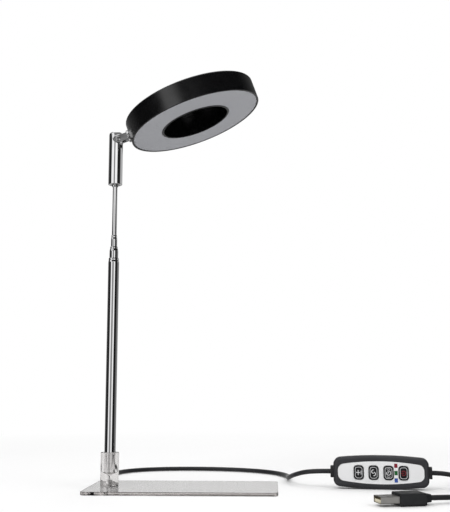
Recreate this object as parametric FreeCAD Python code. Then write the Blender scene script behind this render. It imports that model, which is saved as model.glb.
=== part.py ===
import FreeCAD, Part
import math
import os

# Telescopic grow light: a clear foot plate with a clear socket, a chrome pole of three tubes and a rod, a
# slotted hinge sleeve and a black ring head, with an in-line controller and a plug on its cord.
# Lengths are millimetres and angles are degrees. X runs right along the plate, Y away from the viewer, Z up.
# The origin is the centre of the plate's underside.

# Clearances
press_gap = 0.02
running_gap = 0.05
free_gap = 0.3

# Foot plate and socket
plate_length = 140.0
plate_depth = 70.0
plate_thickness = 2.5
plate_corner_r = 4.0
plate_edge = 0.35
pole_from_left = 14.7
socket_r = 6.8
socket_height = 24.6
socket_edge = 0.4
socket_bore_depth = 14.5
drill_point_half_angle = 59.0
nose_tip_r = 0.8
nose_gap = 0.15
nose_spigot_length = 6.0
screw_head_r = 2.9
screw_shaft_r = 1.5
screw_length = 6.8
screw_head_angle = 45.0
screw_recess = 0.3
screw_cross_width = 0.8
screw_cross_length = 3.4
screw_cross_depth = 1.0

# Pole: each tube's mouth is crimped round the next one, and each inner tube has a foot bush
outer_tube_r = 4.2
outer_tube_wall = 0.5
outer_tube_length = 161.4
second_tube_r = 3.4
second_tube_wall = 0.5
third_tube_r = 2.4
third_tube_wall = 0.3
rod_r = 1.85
rod_bore_r = 1.35
mouth_step = 9.0
crimp_length = 3.0
crimp_shoulder = 1.4
bush_flange_length = 5.0
bush_spigot_length = 4.0
bush_wall = 0.4
bush_bevel_share = 0.8
bush_rest_gap = 1.0
lead_space = 5.0
rod_out = 38.7

# Cord hole in the pole
cord_r = 1.75
cord_hole_height = 36.0
cord_hole_azimuth = 101.0
grommet_hole_r = 2.5
grommet_flange_r = 3.3
grommet_stand = 2.2
grommet_saddle = 1.5
grommet_waist_r = 2.4

# Hinge sleeve, with the tenon that carries the fork
ferrule_height = 1.6
ferrule_r = 2.7
ferrule_neck = 0.35
ferrule_land = 0.5
sleeve_r = 5.5
sleeve_length = 42.5
sleeve_top_round = 2.3
sleeve_bush_length = 8.5
sleeve_bore_r = 4.0
rod_head_r = 3.2
rod_head_height = 2.0
rod_head_space = 2.4
tenon_half = 1.9
pin_offset = 2.2
pin_below_top = 5.7
pin_r = 1.3
pin_head_r = 2.1
pin_head_height = 0.45
washer_r = 3.2
washer_thickness = 0.25
cheek_thickness = 1.8
cheek_r = 3.6
arm_half_height = 2.6
fork_bar_r = 4.7
collar_r = 4.9
collar_start = 7.5
collar_bevel = 0.5
pin_to_wall = 9.2
stud_r = 2.0
nut_across_flats = 6.0
nut_height = 2.5
stud_past_nut = 0.8

# Tilt of the head above level, as photographed and at its limits
tilt = 19.6
tilt_lowest = -20.0

# Ring head, in its own frame: u along the arm away from the pole, v across, w up from the lit face
ring_r = 53.0
ring_hole_r = 26.5
ring_height = 16.5
ring_rim = 1.6
ring_wall = 2.2
ring_web = 2.0
ring_edge_round = 1.3
diffuser_recess = 0.2
diffuser_thickness = 1.6
diffuser_gap = 0.1
board_thickness = 1.2
board_post_height = 1.3
board_post_r = 2.4
board_margin = 1.3
board_screw_count = 4
board_screw_circle_r = 39.0
board_screw_r = 1.0
board_screw_head_r = 1.9
board_screw_head_height = 0.9
board_screw_tip_gap = 0.2
chip_length = 3.5
chip_width = 2.8
chip_height = 0.7
inner_chip_circle_r = 34.0
inner_chip_count = 24
outer_chip_circle_r = 44.0
outer_chip_count = 36
neck_pad_side = 8.0
neck_pad_depth = 0.8
cover_thickness = 1.0
cover_step = 1.0

# Controller, in its own frame: x along the cord, y across, z out of the face
case_length = 70.0
case_width = 24.4
case_end_width = 20.3
case_thickness = 11.0
case_corner_r = 4.5
case_edge_round = 2.6
case_land = 0.12
case_wall = 1.5
case_face_wall = 2.0
plate_face_length = 63.0
plate_face_width = 16.5
plate_face_end_width = 11.0
plate_face_thickness = 0.8
plate_face_corner_r = 4.2
button_pitch = 10.9
first_button_x = -16.1
button_across = 10.0
button_along = 7.0
button_corner_r = 2.2
button_stand = 0.7
button_gap = 0.3
button_tab = 1.0
button_tab_thickness = 0.8
button_foot_depth = 3.0
button_travel = 0.4
window_along = 2.4
window_across = 3.0
window_pitch = 5.3
window_x = 11.1
window_stand = 0.05
case_board_length = 60.0
case_board_width = 16.0
case_board_thickness = 1.0
tact_side = 5.2
tact_height = 1.5
tact_plunger_r = 1.5
tact_plunger_height = 0.9
tact_gap = 0.1
relief_collar_across = 8.7
relief_collar_thick = 6.6
relief_collar_length = 2.3
relief_collar_round = 1.2
relief_neck_r = 2.7
relief_inner_length = 1.4
relief_inner_step_y = 1.0
relief_inner_step_z = 0.5
rib_width = 2.0
rib_sink = 0.5
case_x = 147.0
case_y = 12.0
case_yaw = -8.0

# Plug, in its own frame: x towards the metal tip, y across, z up
plug_body_length = 18.0
plug_body_width = 15.3
plug_body_thickness = 8.0
plug_body_round = 1.3
plug_relief_length = 5.3
plug_relief_width = 7.2
plug_relief_thickness = 6.0
plug_relief_taper = 0.84
plug_shell_length = 13.0
plug_shell_width = 12.0
plug_shell_thickness = 4.5
plug_shell_wall = 0.3
plug_shell_round = 0.5
plug_shell_inset = 4.0
plug_window_side = 2.5
plug_window_apart = 6.6
plug_window_from_tip = 6.3
plug_tongue_thickness = 1.9
plug_tongue_short = 0.8
contact_width = 1.0
contact_length = 7.0
contact_height = 0.15
contact_pitch = 2.3
contact_from_tip = 1.0
plug_x = 168.0
plug_y = -66.0
plug_yaw = 195.0

# Coil of the length that is put away: four layers that spiral in and out again
coil_x = 238.0
coil_y = 27.0
coil_outer_r = 24.0
coil_spacing = 3.95
coil_turns_in = 4
tie_thickness = 0.8
tie_width = 6.0
tie_gap = 0.35

# Places that follow from the sizes above
pole_x = -plate_length / 2 + pole_from_left
pole_foot_z = plate_thickness + socket_height - socket_bore_depth
outer_top = pole_foot_z + outer_tube_length
second_top = outer_top + mouth_step
third_top = second_top + mouth_step
ferrule_bottom = third_top + rod_out
ferrule_top = ferrule_bottom + ferrule_height
sleeve_bottom = ferrule_top + free_gap
sleeve_top = sleeve_bottom + sleeve_length
second_foot = cord_hole_height + lead_space + bush_flange_length
third_foot = second_foot + bush_spigot_length + bush_rest_gap + bush_flange_length
rod_nested_foot = third_foot + bush_spigot_length + bush_rest_gap + bush_flange_length
rod_drop = rod_out - mouth_step
rod_foot = rod_nested_foot + rod_drop
pin_x = pole_x + pin_offset
pin_z = sleeve_top - pin_below_top
arm_length = pin_to_wall + ring_r
cheek_inner = tenon_half + running_gap + washer_thickness
cheek_outer = cheek_inner + cheek_thickness
arm_w = ring_height / 2

made = []


def V(x, y, z):
    """Vector in millimetres."""
    return FreeCAD.Vector(x, y, z)


def save(node, shape):
    """Write one node's solids."""
    if isinstance(shape, list):
        shape = Part.makeCompound(shape)
    shape.exportStep("parts/" + node + ".step")
    made.append((node, shape))


def turned(profile, x=pole_x, y=0.0):
    """Solid turned about a vertical axis from a closed outline of (radius, height) points."""
    corners = [V(x + r, y, z) for r, z in profile]
    outline = Part.makePolygon(corners + [corners[0]])
    return Part.Face(outline).revolve(V(x, y, 0), V(0, 0, 1), 360)


def block(x0, x1, y0, y1, z0, z1):
    """Box between two corners."""
    return Part.makeBox(x1 - x0, y1 - y0, z1 - z0, V(x0, y0, z0))


def rounded_block(x0, x1, y0, y1, z0, z1, r):
    """Box whose four upright edges are rounded."""
    box = block(x0, x1, y0, y1, z0, z1)
    upright = [e for e in box.Edges if abs(e.tangentAt(e.FirstParameter).z) > 0.9]
    return box.makeFillet(r, upright)


def edges_at(shape, z, tolerance=0.001):
    """Edges that lie wholly at height z."""
    flat = []
    for edge in shape.Edges:
        box = edge.BoundBox
        if abs(box.ZMin - z) < tolerance and abs(box.ZMax - z) < tolerance:
            flat.append(edge)
    return flat


def mirrored(shape):
    """Copy on the other side of the XZ plane."""
    return shape.mirror(V(0, 0, 0), V(0, 1, 0))


# Foot

def base_plate():
    plate = rounded_block(-plate_length / 2, plate_length / 2, -plate_depth / 2, plate_depth / 2,
                          0, plate_thickness, plate_corner_r)
    rims = edges_at(plate, 0) + edges_at(plate, plate_thickness)
    plate = plate.makeChamfer(plate_edge, rims)
    return plate.cut(screw_form(running_gap, 0))


def screw_form(gap, bottom):
    """Countersunk screw outline, grown by a gap, with its head's rim at the given height."""
    head_depth = (screw_head_r - screw_shaft_r) / math.tan(math.radians(screw_head_angle))
    head_r = screw_head_r + gap
    shaft_r = screw_shaft_r + gap
    rim = screw_recess
    return turned([(0, bottom), (head_r, bottom), (head_r, rim), (shaft_r, rim + head_depth),
                   (shaft_r, rim + screw_length + gap), (0, rim + screw_length + gap)])


def socket_screw():
    screw = screw_form(0, screw_recess)
    half = screw_cross_length / 2
    thin = screw_cross_width / 2
    top = screw_recess + screw_cross_depth
    slot_a = block(pole_x - half, pole_x + half, -thin, thin, 0, top)
    slot_b = block(pole_x - thin, pole_x + thin, -half, half, 0, top)
    return screw.cut(slot_a).cut(slot_b)


def pole_socket():
    bore_r = outer_tube_r + running_gap
    point_depth = bore_r / math.tan(math.radians(drill_point_half_angle))
    top = plate_thickness + socket_height
    socket = turned([(0, plate_thickness), (socket_r, plate_thickness), (socket_r, top - socket_edge),
                     (socket_r - socket_edge, top), (bore_r, top), (bore_r, pole_foot_z),
                     (0, pole_foot_z - point_depth)])
    return socket.cut(screw_form(0, 0))


def pole_nose():
    """Plug in the tube's foot, with a point that sits in the drilled end of the bore."""
    bore_r = outer_tube_r - outer_tube_wall - press_gap
    slope = math.tan(math.radians(drill_point_half_angle))
    rim_r = outer_tube_r - nose_gap
    return turned([(0, pole_foot_z - (rim_r - nose_tip_r) / slope),
                   (nose_tip_r, pole_foot_z - (rim_r - nose_tip_r) / slope),
                   (rim_r, pole_foot_z), (bore_r, pole_foot_z),
                   (bore_r, pole_foot_z + nose_spigot_length), (0, pole_foot_z + nose_spigot_length)])


# Pole

def tube(r, wall, inner_r, bottom, top):
    """Drawn tube whose mouth is crimped to run on the next tube."""
    bore = r - wall
    mouth = inner_r + running_gap
    mouth_out = mouth + wall
    crimp = top - crimp_length
    return turned([(bore, bottom), (r, bottom), (r, crimp), (mouth_out, crimp + crimp_shoulder),
                   (mouth_out, top), (mouth, top), (mouth, crimp), (bore, crimp - (bore - mouth))])


def foot_bush(r, bore, outer_bore, foot):
    """Bush below a tube's foot: a flange that runs in the outer bore, and a spigot in the tube."""
    flange_r = outer_bore - running_gap
    spigot_r = bore - press_gap
    hole = spigot_r - bush_wall
    bottom = foot - bush_flange_length
    bevel = (flange_r - r) * bush_bevel_share
    return turned([(hole, bottom), (flange_r - bevel, bottom), (flange_r, bottom + bevel),
                   (flange_r, foot), (spigot_r, foot), (spigot_r, foot + bush_spigot_length),
                   (hole, foot + bush_spigot_length)])


def outer_tube():
    pipe = tube(outer_tube_r, outer_tube_wall, second_tube_r, pole_foot_z, outer_top)
    hole = Part.makeCylinder(grommet_hole_r, 2 * outer_tube_r, V(pole_x, 0, cord_hole_height), cord_way())
    return pipe.cut(hole)


def cord_way():
    """Direction in which the cord leaves the pole."""
    angle = math.radians(cord_hole_azimuth)
    return V(math.cos(angle), math.sin(angle), 0)


def cord_grommet():
    """Waist in the tube's hole and a flange outside it, with a passage for the cord."""
    axis = V(pole_x, 0, cord_hole_height)
    way = cord_way()
    reach = outer_tube_r + grommet_stand
    waist = Part.makeCylinder(grommet_waist_r, reach, axis, way)
    flange = Part.makeCylinder(grommet_flange_r, grommet_stand + grommet_saddle,
                               axis + way * (outer_tube_r - grommet_saddle), way)
    low = V(pole_x, 0, cord_hole_height - reach)
    flange = flange.cut(Part.makeCylinder(outer_tube_r + press_gap, 2 * reach, low))
    inside = Part.makeCylinder(outer_tube_r - outer_tube_wall, 2 * reach, low)
    passage = Part.makeCylinder(cord_r + press_gap, reach, axis, way)
    return waist.cut(inside).fuse(flange).removeSplitter().cut(passage)


def top_rod():
    head_bottom = sleeve_bottom + sleeve_bush_length + free_gap
    head_top = head_bottom + rod_head_height
    return turned([(rod_bore_r, rod_foot), (rod_r, rod_foot), (rod_r, head_bottom), (rod_head_r, head_bottom),
                   (rod_head_r, head_top), (rod_bore_r, head_top)])


def rod_ferrule():
    inner = rod_r + press_gap
    return turned([(inner, ferrule_bottom), (rod_r + ferrule_neck, ferrule_bottom),
                   (ferrule_r, ferrule_top - ferrule_land),
                   (ferrule_r, ferrule_top), (inner, ferrule_top)])


# Hinge

def hinge_sleeve():
    body = Part.makeCylinder(sleeve_r, sleeve_length, V(pole_x, 0, sleeve_bottom))
    body = body.makeFillet(sleeve_top_round, edges_at(body, sleeve_top))
    cavity = sleeve_bush_length + 2 * free_gap + rod_head_height + rod_head_space
    body = body.cut(Part.makeCylinder(sleeve_bore_r, cavity, V(pole_x, 0, sleeve_bottom)))
    recess = fork_recess()
    body = body.cut(recess).cut(mirrored(recess))
    pin_bore = Part.makeCylinder(pin_r + running_gap, 2 * sleeve_r, V(pin_x, -sleeve_r, pin_z), V(0, 1, 0))
    return body.cut(pin_bore)


def fork_recess():
    """Space on one side of the tenon in which a cheek of the fork swings."""
    r = cheek_r + free_gap
    reach = 4 * sleeve_r
    low = math.radians(tilt_lowest)
    along = V(math.cos(low), 0, math.sin(low))
    below = V(math.sin(low), 0, -math.cos(low))
    pin = V(pin_x, tenon_half, pin_z)
    corners = [pin + V(-r, 0, 0), pin + V(-r, 0, reach), pin + V(reach, 0, reach),
               pin + below * r + along * reach, pin + below * r, pin]
    wedge = Part.Face(Part.makePolygon(corners + [corners[0]])).extrude(V(0, sleeve_r, 0))
    disc = Part.makeCylinder(r, sleeve_r, pin, V(0, 1, 0))
    return wedge.fuse(disc).removeSplitter()


def sleeve_bush():
    return turned([(rod_r + running_gap, sleeve_bottom), (sleeve_bore_r - press_gap, sleeve_bottom),
                   (sleeve_bore_r - press_gap, sleeve_bottom + sleeve_bush_length),
                   (rod_r + running_gap, sleeve_bottom + sleeve_bush_length)])


# Head, in its own frame

def to_head(shape):
    """Move a shape from the head's frame to its place, tilted about the hinge pin."""
    turn = FreeCAD.Rotation(V(0, 1, 0), -tilt)
    pin = V(pin_x, 0, pin_z)
    offset = turn.multVec(V(arm_length, 0, -arm_w))
    shape.Placement = FreeCAD.Placement(pin + offset, turn).multiply(shape.Placement)
    return shape


def ring_of(r_out, r_in, w0, w1):
    """Plain ring about the head's own axis."""
    ring = Part.makeCylinder(r_out, w1 - w0, V(0, 0, w0))
    return ring.cut(Part.makeCylinder(r_in, w1 - w0, V(0, 0, w0)))


def around(radius, count, index, phase=0.0):
    """Point on a circle in the head's frame."""
    angle = 2 * math.pi * (index + phase) / count
    return V(radius * math.cos(angle), radius * math.sin(angle), 0)


def ring_housing():
    shell = Part.makeCylinder(ring_r, ring_height)
    shell = shell.makeFillet(ring_edge_round, edges_at(shell, ring_height))
    shell = shell.cut(Part.makeCylinder(ring_hole_r, ring_height))
    shell = shell.cut(Part.makeCylinder(ring_hole_r + cover_step, cover_thickness, V(0, 0, cover_bottom())))
    ledge = diffuser_recess + diffuser_thickness
    shell = shell.cut(ring_of(ring_r - ring_rim, ring_hole_r + ring_rim, 0, ledge))
    roof = ring_height - ring_web
    channel = ring_of(ring_r - ring_wall, ring_hole_r + ring_wall, ledge, roof)
    shell = shell.cut(channel)
    for i in range(board_screw_count):
        foot = around(board_screw_circle_r, board_screw_count, i, 0.5) + V(0, 0, roof - board_post_height)
        post = Part.makeCylinder(board_post_r, board_post_height, foot)
        shell = shell.fuse(post)
    inner = ring_r - ring_wall
    half = neck_pad_side / 2
    pad = block(-inner - ring_wall / 2, -inner + neck_pad_depth, -half, half, arm_w - half, arm_w + half)
    shell = shell.fuse(pad).removeSplitter()
    for i in range(board_screw_count):
        foot = around(board_screw_circle_r, board_screw_count, i, 0.5) + V(0, 0, roof - board_post_height)
        shell = shell.cut(Part.makeCylinder(board_screw_r, board_post_height, foot))
    stud_hole = Part.makeCylinder(stud_r + press_gap, 2 * ring_wall + neck_pad_depth + 1,
                                  V(-ring_r - 1, 0, arm_w), V(1, 0, 0))
    return to_head(shell.cut(stud_hole))


def cover_bottom():
    return ring_height - cover_thickness


def ring_cover():
    """Disc that closes the ring's upper side, flush in a step round the hole."""
    return to_head(Part.makeCylinder(ring_hole_r + cover_step - press_gap, cover_thickness,
                                     V(0, 0, cover_bottom())))


def diffuser_ring():
    top = diffuser_recess + diffuser_thickness
    return to_head(ring_of(ring_r - ring_rim - diffuser_gap, ring_hole_r + ring_rim + diffuser_gap,
                           diffuser_recess, top))


def board_bottom():
    return ring_height - ring_web - board_post_height - board_thickness


def led_board():
    low = board_bottom()
    board = ring_of(ring_r - ring_wall - board_margin, ring_hole_r + ring_wall + board_margin,
                    low, low + board_thickness)
    for i in range(board_screw_count):
        place = around(board_screw_circle_r, board_screw_count, i, 0.5) + V(0, 0, low)
        board = board.cut(Part.makeCylinder(board_screw_r + press_gap, board_thickness, place))
    return to_head(board)


def board_screws():
    screws = []
    low = board_bottom()
    for i in range(board_screw_count):
        place = around(board_screw_circle_r, board_screw_count, i, 0.5)
        reach = board_thickness + board_post_height - board_screw_tip_gap
        shaft = Part.makeCylinder(board_screw_r - press_gap, reach, place + V(0, 0, low))
        head = Part.makeCylinder(board_screw_head_r, board_screw_head_height,
                                 place + V(0, 0, low - board_screw_head_height))
        screws.append(to_head(shaft.fuse(head)))
    return screws


def led_chips():
    chips = []
    low = board_bottom()
    circles = ((inner_chip_circle_r, inner_chip_count), (outer_chip_circle_r, outer_chip_count))
    for radius, count in circles:
        for i in range(count):
            chip = block(-chip_width / 2, chip_width / 2, -chip_length / 2, chip_length / 2, 0, chip_height)
            chip.Placement = FreeCAD.Placement(around(radius, count, i, 0.5) + V(0, 0, low - chip_height),
                                               FreeCAD.Rotation(V(0, 0, 1), 360 * (i + 0.5) / count))
            chips.append(to_head(chip))
    return chips


def hinge_fork():
    """Two cheeks on a bevelled collar, with the stud that passes into the ring."""
    pin_u = -arm_length
    right = V(1, 0, 0)
    across = V(0, 1, 0)
    collar_end = pin_to_wall + 1
    bar = Part.makeCylinder(fork_bar_r, collar_end + cheek_r, V(pin_u - cheek_r, 0, arm_w), right)
    collar_foot = V(pin_u + collar_start, 0, arm_w)
    bevel = Part.makeCone(collar_r - collar_bevel, collar_r, collar_bevel, collar_foot, right)
    collar = Part.makeCylinder(collar_r, collar_end - collar_start - collar_bevel,
                               collar_foot + right * collar_bevel, right)
    fork = collar.fuse(bevel)
    for side in (cheek_inner, -cheek_outer):
        eye = Part.makeCylinder(cheek_r, cheek_thickness, V(pin_u, side, arm_w), across)
        arm = block(pin_u, pin_u + collar_end, side, side + cheek_thickness,
                    arm_w - arm_half_height, arm_w + arm_half_height)
        fork = fork.fuse(eye.fuse(arm).common(bar))
    fork = fork.cut(Part.makeCylinder(ring_r, ring_height))
    stud_length = ring_wall + neck_pad_depth + nut_height + stud_past_nut
    fork = fork.fuse(Part.makeCylinder(stud_r, stud_length + 1, V(-ring_r - 1, 0, arm_w), right))
    bore = Part.makeCylinder(pin_r + press_gap, 4 * cheek_outer, V(pin_u, -2 * cheek_outer, arm_w), across)
    return to_head(fork.removeSplitter().cut(bore))


def hinge_pin():
    shaft = Part.makeCylinder(pin_r, 2 * cheek_outer, V(pin_x, -cheek_outer, pin_z), V(0, 1, 0))
    near = Part.makeCone(pin_head_r, pin_r, pin_head_height, V(pin_x, cheek_outer, pin_z), V(0, 1, 0))
    far = mirrored(near)
    return shaft.fuse(near).fuse(far).removeSplitter()


def friction_washers():
    foot = V(pin_x, tenon_half + running_gap, pin_z)
    washer = Part.makeCylinder(washer_r, washer_thickness, foot, V(0, 1, 0))
    washer = washer.cut(Part.makeCylinder(pin_r + press_gap, 4, V(pin_x, 0, pin_z), V(0, 1, 0)))
    return [washer, mirrored(washer)]


def neck_nut():
    across = nut_across_flats / math.sqrt(3)
    seat = -(ring_r - ring_wall) + neck_pad_depth
    corners = []
    for i in range(7):
        angle = math.radians(60 * i)
        corners.append(V(seat, across * math.cos(angle), arm_w + across * math.sin(angle)))
    nut = Part.Face(Part.makePolygon(corners)).extrude(V(nut_height, 0, 0))
    return to_head(nut.cut(Part.makeCylinder(stud_r + press_gap, nut_height, V(seat, 0, arm_w), V(1, 0, 0))))


# Controller, in its own frame

def to_case(shape):
    """Stand a shape of the controller on its long edge, with its face towards the viewer."""
    upright = FreeCAD.Rotation(V(1, 0, 0), 90)
    turn = FreeCAD.Rotation(V(0, 0, 1), case_yaw)
    place = V(case_x, case_y, case_width / 2 - case_land)
    shape.Placement = FreeCAD.Placement(place, turn.multiply(upright))
    return shape


def barrel(length, width, end_width, corner_r, z0, z1):
    """Outline with bowed long sides and straight ends, rounded at the corners, as a solid."""
    a = length / 2
    b = width / 2
    e = end_width / 2
    top = Part.Arc(V(-a, e, z0), V(0, b, z0), V(a, e, z0)).toShape()
    right = Part.LineSegment(V(a, e, z0), V(a, -e, z0)).toShape()
    low = Part.Arc(V(a, -e, z0), V(0, -b, z0), V(-a, -e, z0)).toShape()
    left = Part.LineSegment(V(-a, -e, z0), V(-a, e, z0)).toShape()
    solid = Part.Face(Part.Wire([top, right, low, left])).extrude(V(0, 0, z1 - z0))
    corners = []
    for edge in solid.Edges:
        box = edge.BoundBox
        if box.ZLength > 0.5 * (z1 - z0) and abs(abs(box.XMin) - a) < 0.01:
            corners.append(edge)
    return solid.makeFillet(corner_r, corners)


def case_form():
    """Whole outer form, with a short flat on each long edge for it to stand on."""
    half = case_thickness / 2
    form = barrel(case_length, case_width, case_end_width, case_corner_r, -half, half)
    flat = case_width / 2 - case_land
    form = form.common(block(-case_length, case_length, -flat, flat, -half, half))
    rims = edges_at(form, half) + edges_at(form, -half)
    return form.makeFillet(case_edge_round, rims)


def case_cavity():
    half = case_thickness / 2
    return barrel(case_length - 2 * case_wall, case_width - 2 * case_wall, case_end_width - 2 * case_wall,
                  case_corner_r - case_wall, -half + case_wall, half - case_face_wall)


def button_places():
    return [first_button_x + i * button_pitch for i in range(4)]


def button_hole(x, z0, z1, gap):
    """Rounded opening or button stem at a place along the controller."""
    half_x = button_along / 2 + gap
    half_y = button_across / 2 + gap
    return rounded_block(x - half_x, x + half_x, -half_y, half_y, z0, z1, button_corner_r + gap)


def window_block(i, z0, z1, gap):
    """One of the three square indicator windows, or its opening."""
    half_x = window_along / 2 + gap
    half_y = window_across / 2 + gap
    y = (i - 1) * window_pitch
    return block(window_x - half_x, window_x + half_x, y - half_y, y + half_y, z0, z1)


def case_face():
    return case_thickness / 2


def controller_front():
    shell = case_form().common(block(-case_length, case_length, -case_width, case_width, 0, case_thickness))
    shell = shell.cut(case_cavity())
    pocket = barrel(plate_face_length, plate_face_width, plate_face_end_width, plate_face_corner_r,
                    case_face() - plate_face_thickness, case_face() + 1)
    shell = shell.cut(pocket)
    for x in button_places():
        shell = shell.cut(button_hole(x, 0, case_face() + 1, button_gap))
    for i in range(3):
        shell = shell.cut(window_block(i, 0, case_face() + 1, press_gap))
    shell = shell.cut(relief_ways())
    return to_case(shell)


def controller_back():
    shell = case_form().common(block(-case_length, case_length, -case_width, case_width, -case_thickness, 0))
    shell = shell.cut(case_cavity())
    floor = -case_thickness / 2 + case_wall
    side = case_board_width / 2
    for x in (-case_board_length / 3, case_board_length / 3):
        rib = block(x - rib_width / 2, x + rib_width / 2, -side, side, floor - rib_sink, board_level())
        shell = shell.fuse(rib)
    shell = shell.removeSplitter().cut(relief_ways())
    return to_case(shell)


def board_level():
    """Underside of the controller's board."""
    top = case_face() - button_foot_depth - button_travel - tact_gap
    return top - tact_height - tact_plunger_height - case_board_thickness


def relief_ways():
    """Round ways through both end walls for the necks of the strain reliefs."""
    length = 2 * case_wall
    start = case_length / 2
    left = Part.makeCylinder(relief_neck_r + press_gap, length, V(-start, 0, 0), V(1, 0, 0))
    right = Part.makeCylinder(relief_neck_r + press_gap, length, V(start, 0, 0), V(-1, 0, 0))
    return left.fuse(right)


def controller_faceplate():
    low = case_face() - plate_face_thickness
    plate = barrel(plate_face_length - 2 * press_gap, plate_face_width - 2 * press_gap,
                   plate_face_end_width - 2 * press_gap, plate_face_corner_r, low, case_face())
    for x in button_places():
        plate = plate.cut(button_hole(x, low, case_face(), button_gap))
    for i in range(3):
        plate = plate.cut(window_block(i, low, case_face(), press_gap))
    return to_case(plate)


def button(x):
    """Cap with a crowned rim and two tabs that keep it behind the face."""
    top = case_face() + button_stand
    foot = case_face() - button_foot_depth
    cap = button_hole(x, foot, top, 0)
    cap = cap.makeFillet(button_stand * 0.5, edges_at(cap, top))
    tab_top = case_face() - case_face_wall - running_gap
    reach = button_across / 2 + button_tab
    half_x = button_along / 2 - button_corner_r
    tabs = block(x - half_x, x + half_x, -reach, reach, tab_top - button_tab_thickness, tab_top)
    return to_case(cap.fuse(tabs).removeSplitter())


def indicator(i):
    low = case_face() - case_face_wall
    return to_case(window_block(i, low, case_face() + window_stand, 0))


def controller_board():
    low = board_level()
    board = block(-case_board_length / 2, case_board_length / 2, -case_board_width / 2, case_board_width / 2,
                  low, low + case_board_thickness)
    return to_case(board)


def tact_switches():
    switches = []
    low = board_level() + case_board_thickness
    half = tact_side / 2
    for x in button_places():
        body = block(x - half, x + half, -half, half, low, low + tact_height)
        plunger = Part.makeCylinder(tact_plunger_r, tact_plunger_height, V(x, 0, low + tact_height))
        switches.append(to_case(body.fuse(plunger)))
    return switches


def controller_relief(side):
    """Rubber relief: a collar outside the end wall, a neck in it and a flange inside."""
    half_y = relief_collar_across / 2
    half_z = relief_collar_thick / 2
    end = case_length / 2
    collar = block(end, end + relief_collar_length, -half_y, half_y, -half_z, half_z)
    along = [e for e in collar.Edges if e.BoundBox.XLength > relief_collar_length / 2]
    collar = collar.makeFillet(relief_collar_round, along)
    neck = Part.makeCylinder(relief_neck_r, case_wall + relief_inner_length, V(end, 0, 0), V(-1, 0, 0))
    inner_y = half_y - relief_inner_step_y
    inner_z = half_z - relief_inner_step_z
    flange = block(end - case_wall - relief_inner_length, end - case_wall, -inner_y, inner_y, -inner_z, inner_z)
    relief = collar.fuse(neck).fuse(flange).removeSplitter()
    if side < 0:
        relief = relief.mirror(V(0, 0, 0), V(1, 0, 0))
    return to_case(relief)


# Plug, in its own frame

def to_plug(shape):
    """Lay a shape of the plug flat on the surface."""
    turn = FreeCAD.Rotation(V(0, 0, 1), plug_yaw)
    shape.Placement = FreeCAD.Placement(V(plug_x, plug_y, plug_body_thickness / 2), turn)
    return shape


def plug_body():
    """Moulded grip and its strain relief, with the pocket that holds the metal shell."""
    start = plug_relief_length
    half_y = plug_body_width / 2
    half_z = plug_body_thickness / 2
    grip = block(start, start + plug_body_length, -half_y, half_y, -half_z, half_z)
    along = [e for e in grip.Edges if e.BoundBox.XLength > plug_body_length / 2]
    grip = grip.makeFillet(plug_body_round, along)
    outlines = []
    for x, share in ((0, plug_relief_taper), (start, 1.0)):
        y = share * plug_relief_width / 2
        z = share * plug_relief_thickness / 2
        outlines.append(Part.makePolygon([V(x, -y, -z), V(x, y, -z), V(x, y, z), V(x, -y, z), V(x, -y, -z)]))
    body = grip.fuse(Part.makeLoft(outlines, True, True)).removeSplitter()
    end = start + plug_body_length
    pocket = block(end - plug_shell_inset, end, -plug_shell_width / 2, plug_shell_width / 2,
                   -plug_shell_thickness / 2, plug_shell_thickness / 2)
    return to_plug(body.cut(pocket))


def plug_shell():
    """Folded metal shell with two latch windows in its upper face."""
    back = plug_relief_length + plug_body_length - plug_shell_inset
    tip = plug_relief_length + plug_body_length + plug_shell_length
    half_y = plug_shell_width / 2 - press_gap
    half_z = plug_shell_thickness / 2 - press_gap
    wall = plug_shell_wall
    shell = block(back, tip, -half_y, half_y, -half_z, half_z)
    along = [e for e in shell.Edges if e.BoundBox.XLength > plug_shell_length / 2]
    shell = shell.makeFillet(plug_shell_round, along)
    shell = shell.cut(block(back, tip, -half_y + wall, half_y - wall, -half_z + wall, half_z - wall))
    middle = tip - plug_window_from_tip
    for y in (-plug_window_apart / 2, plug_window_apart / 2):
        half = plug_window_side / 2
        shell = shell.cut(block(middle - half, middle + half, y - half, y + half, 0, 2 * half_z))
    return to_plug(shell)


def tongue_limits():
    """Ends, half width and heights of the plastic tongue in the shell."""
    back = plug_relief_length + plug_body_length - plug_shell_inset
    tip = plug_relief_length + plug_body_length + plug_shell_length - plug_tongue_short
    half_y = plug_shell_width / 2 - plug_shell_wall - 2 * press_gap
    low = -plug_shell_thickness / 2 + plug_shell_wall + 2 * press_gap
    return back, tip, half_y, low


def plug_tongue():
    back, tip, half_y, low = tongue_limits()
    return to_plug(block(back, tip, -half_y, half_y, low, low + plug_tongue_thickness))


def plug_contacts():
    back, tip, half_y, low = tongue_limits()
    top = low + plug_tongue_thickness
    strips = []
    for i in range(4):
        y = (i - 1.5) * contact_pitch
        end = tip - contact_from_tip
        strips.append(to_plug(block(end - contact_length, end, y - contact_width / 2, y + contact_width / 2,
                                    top, top + contact_height)))
    return strips


# Cords

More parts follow.
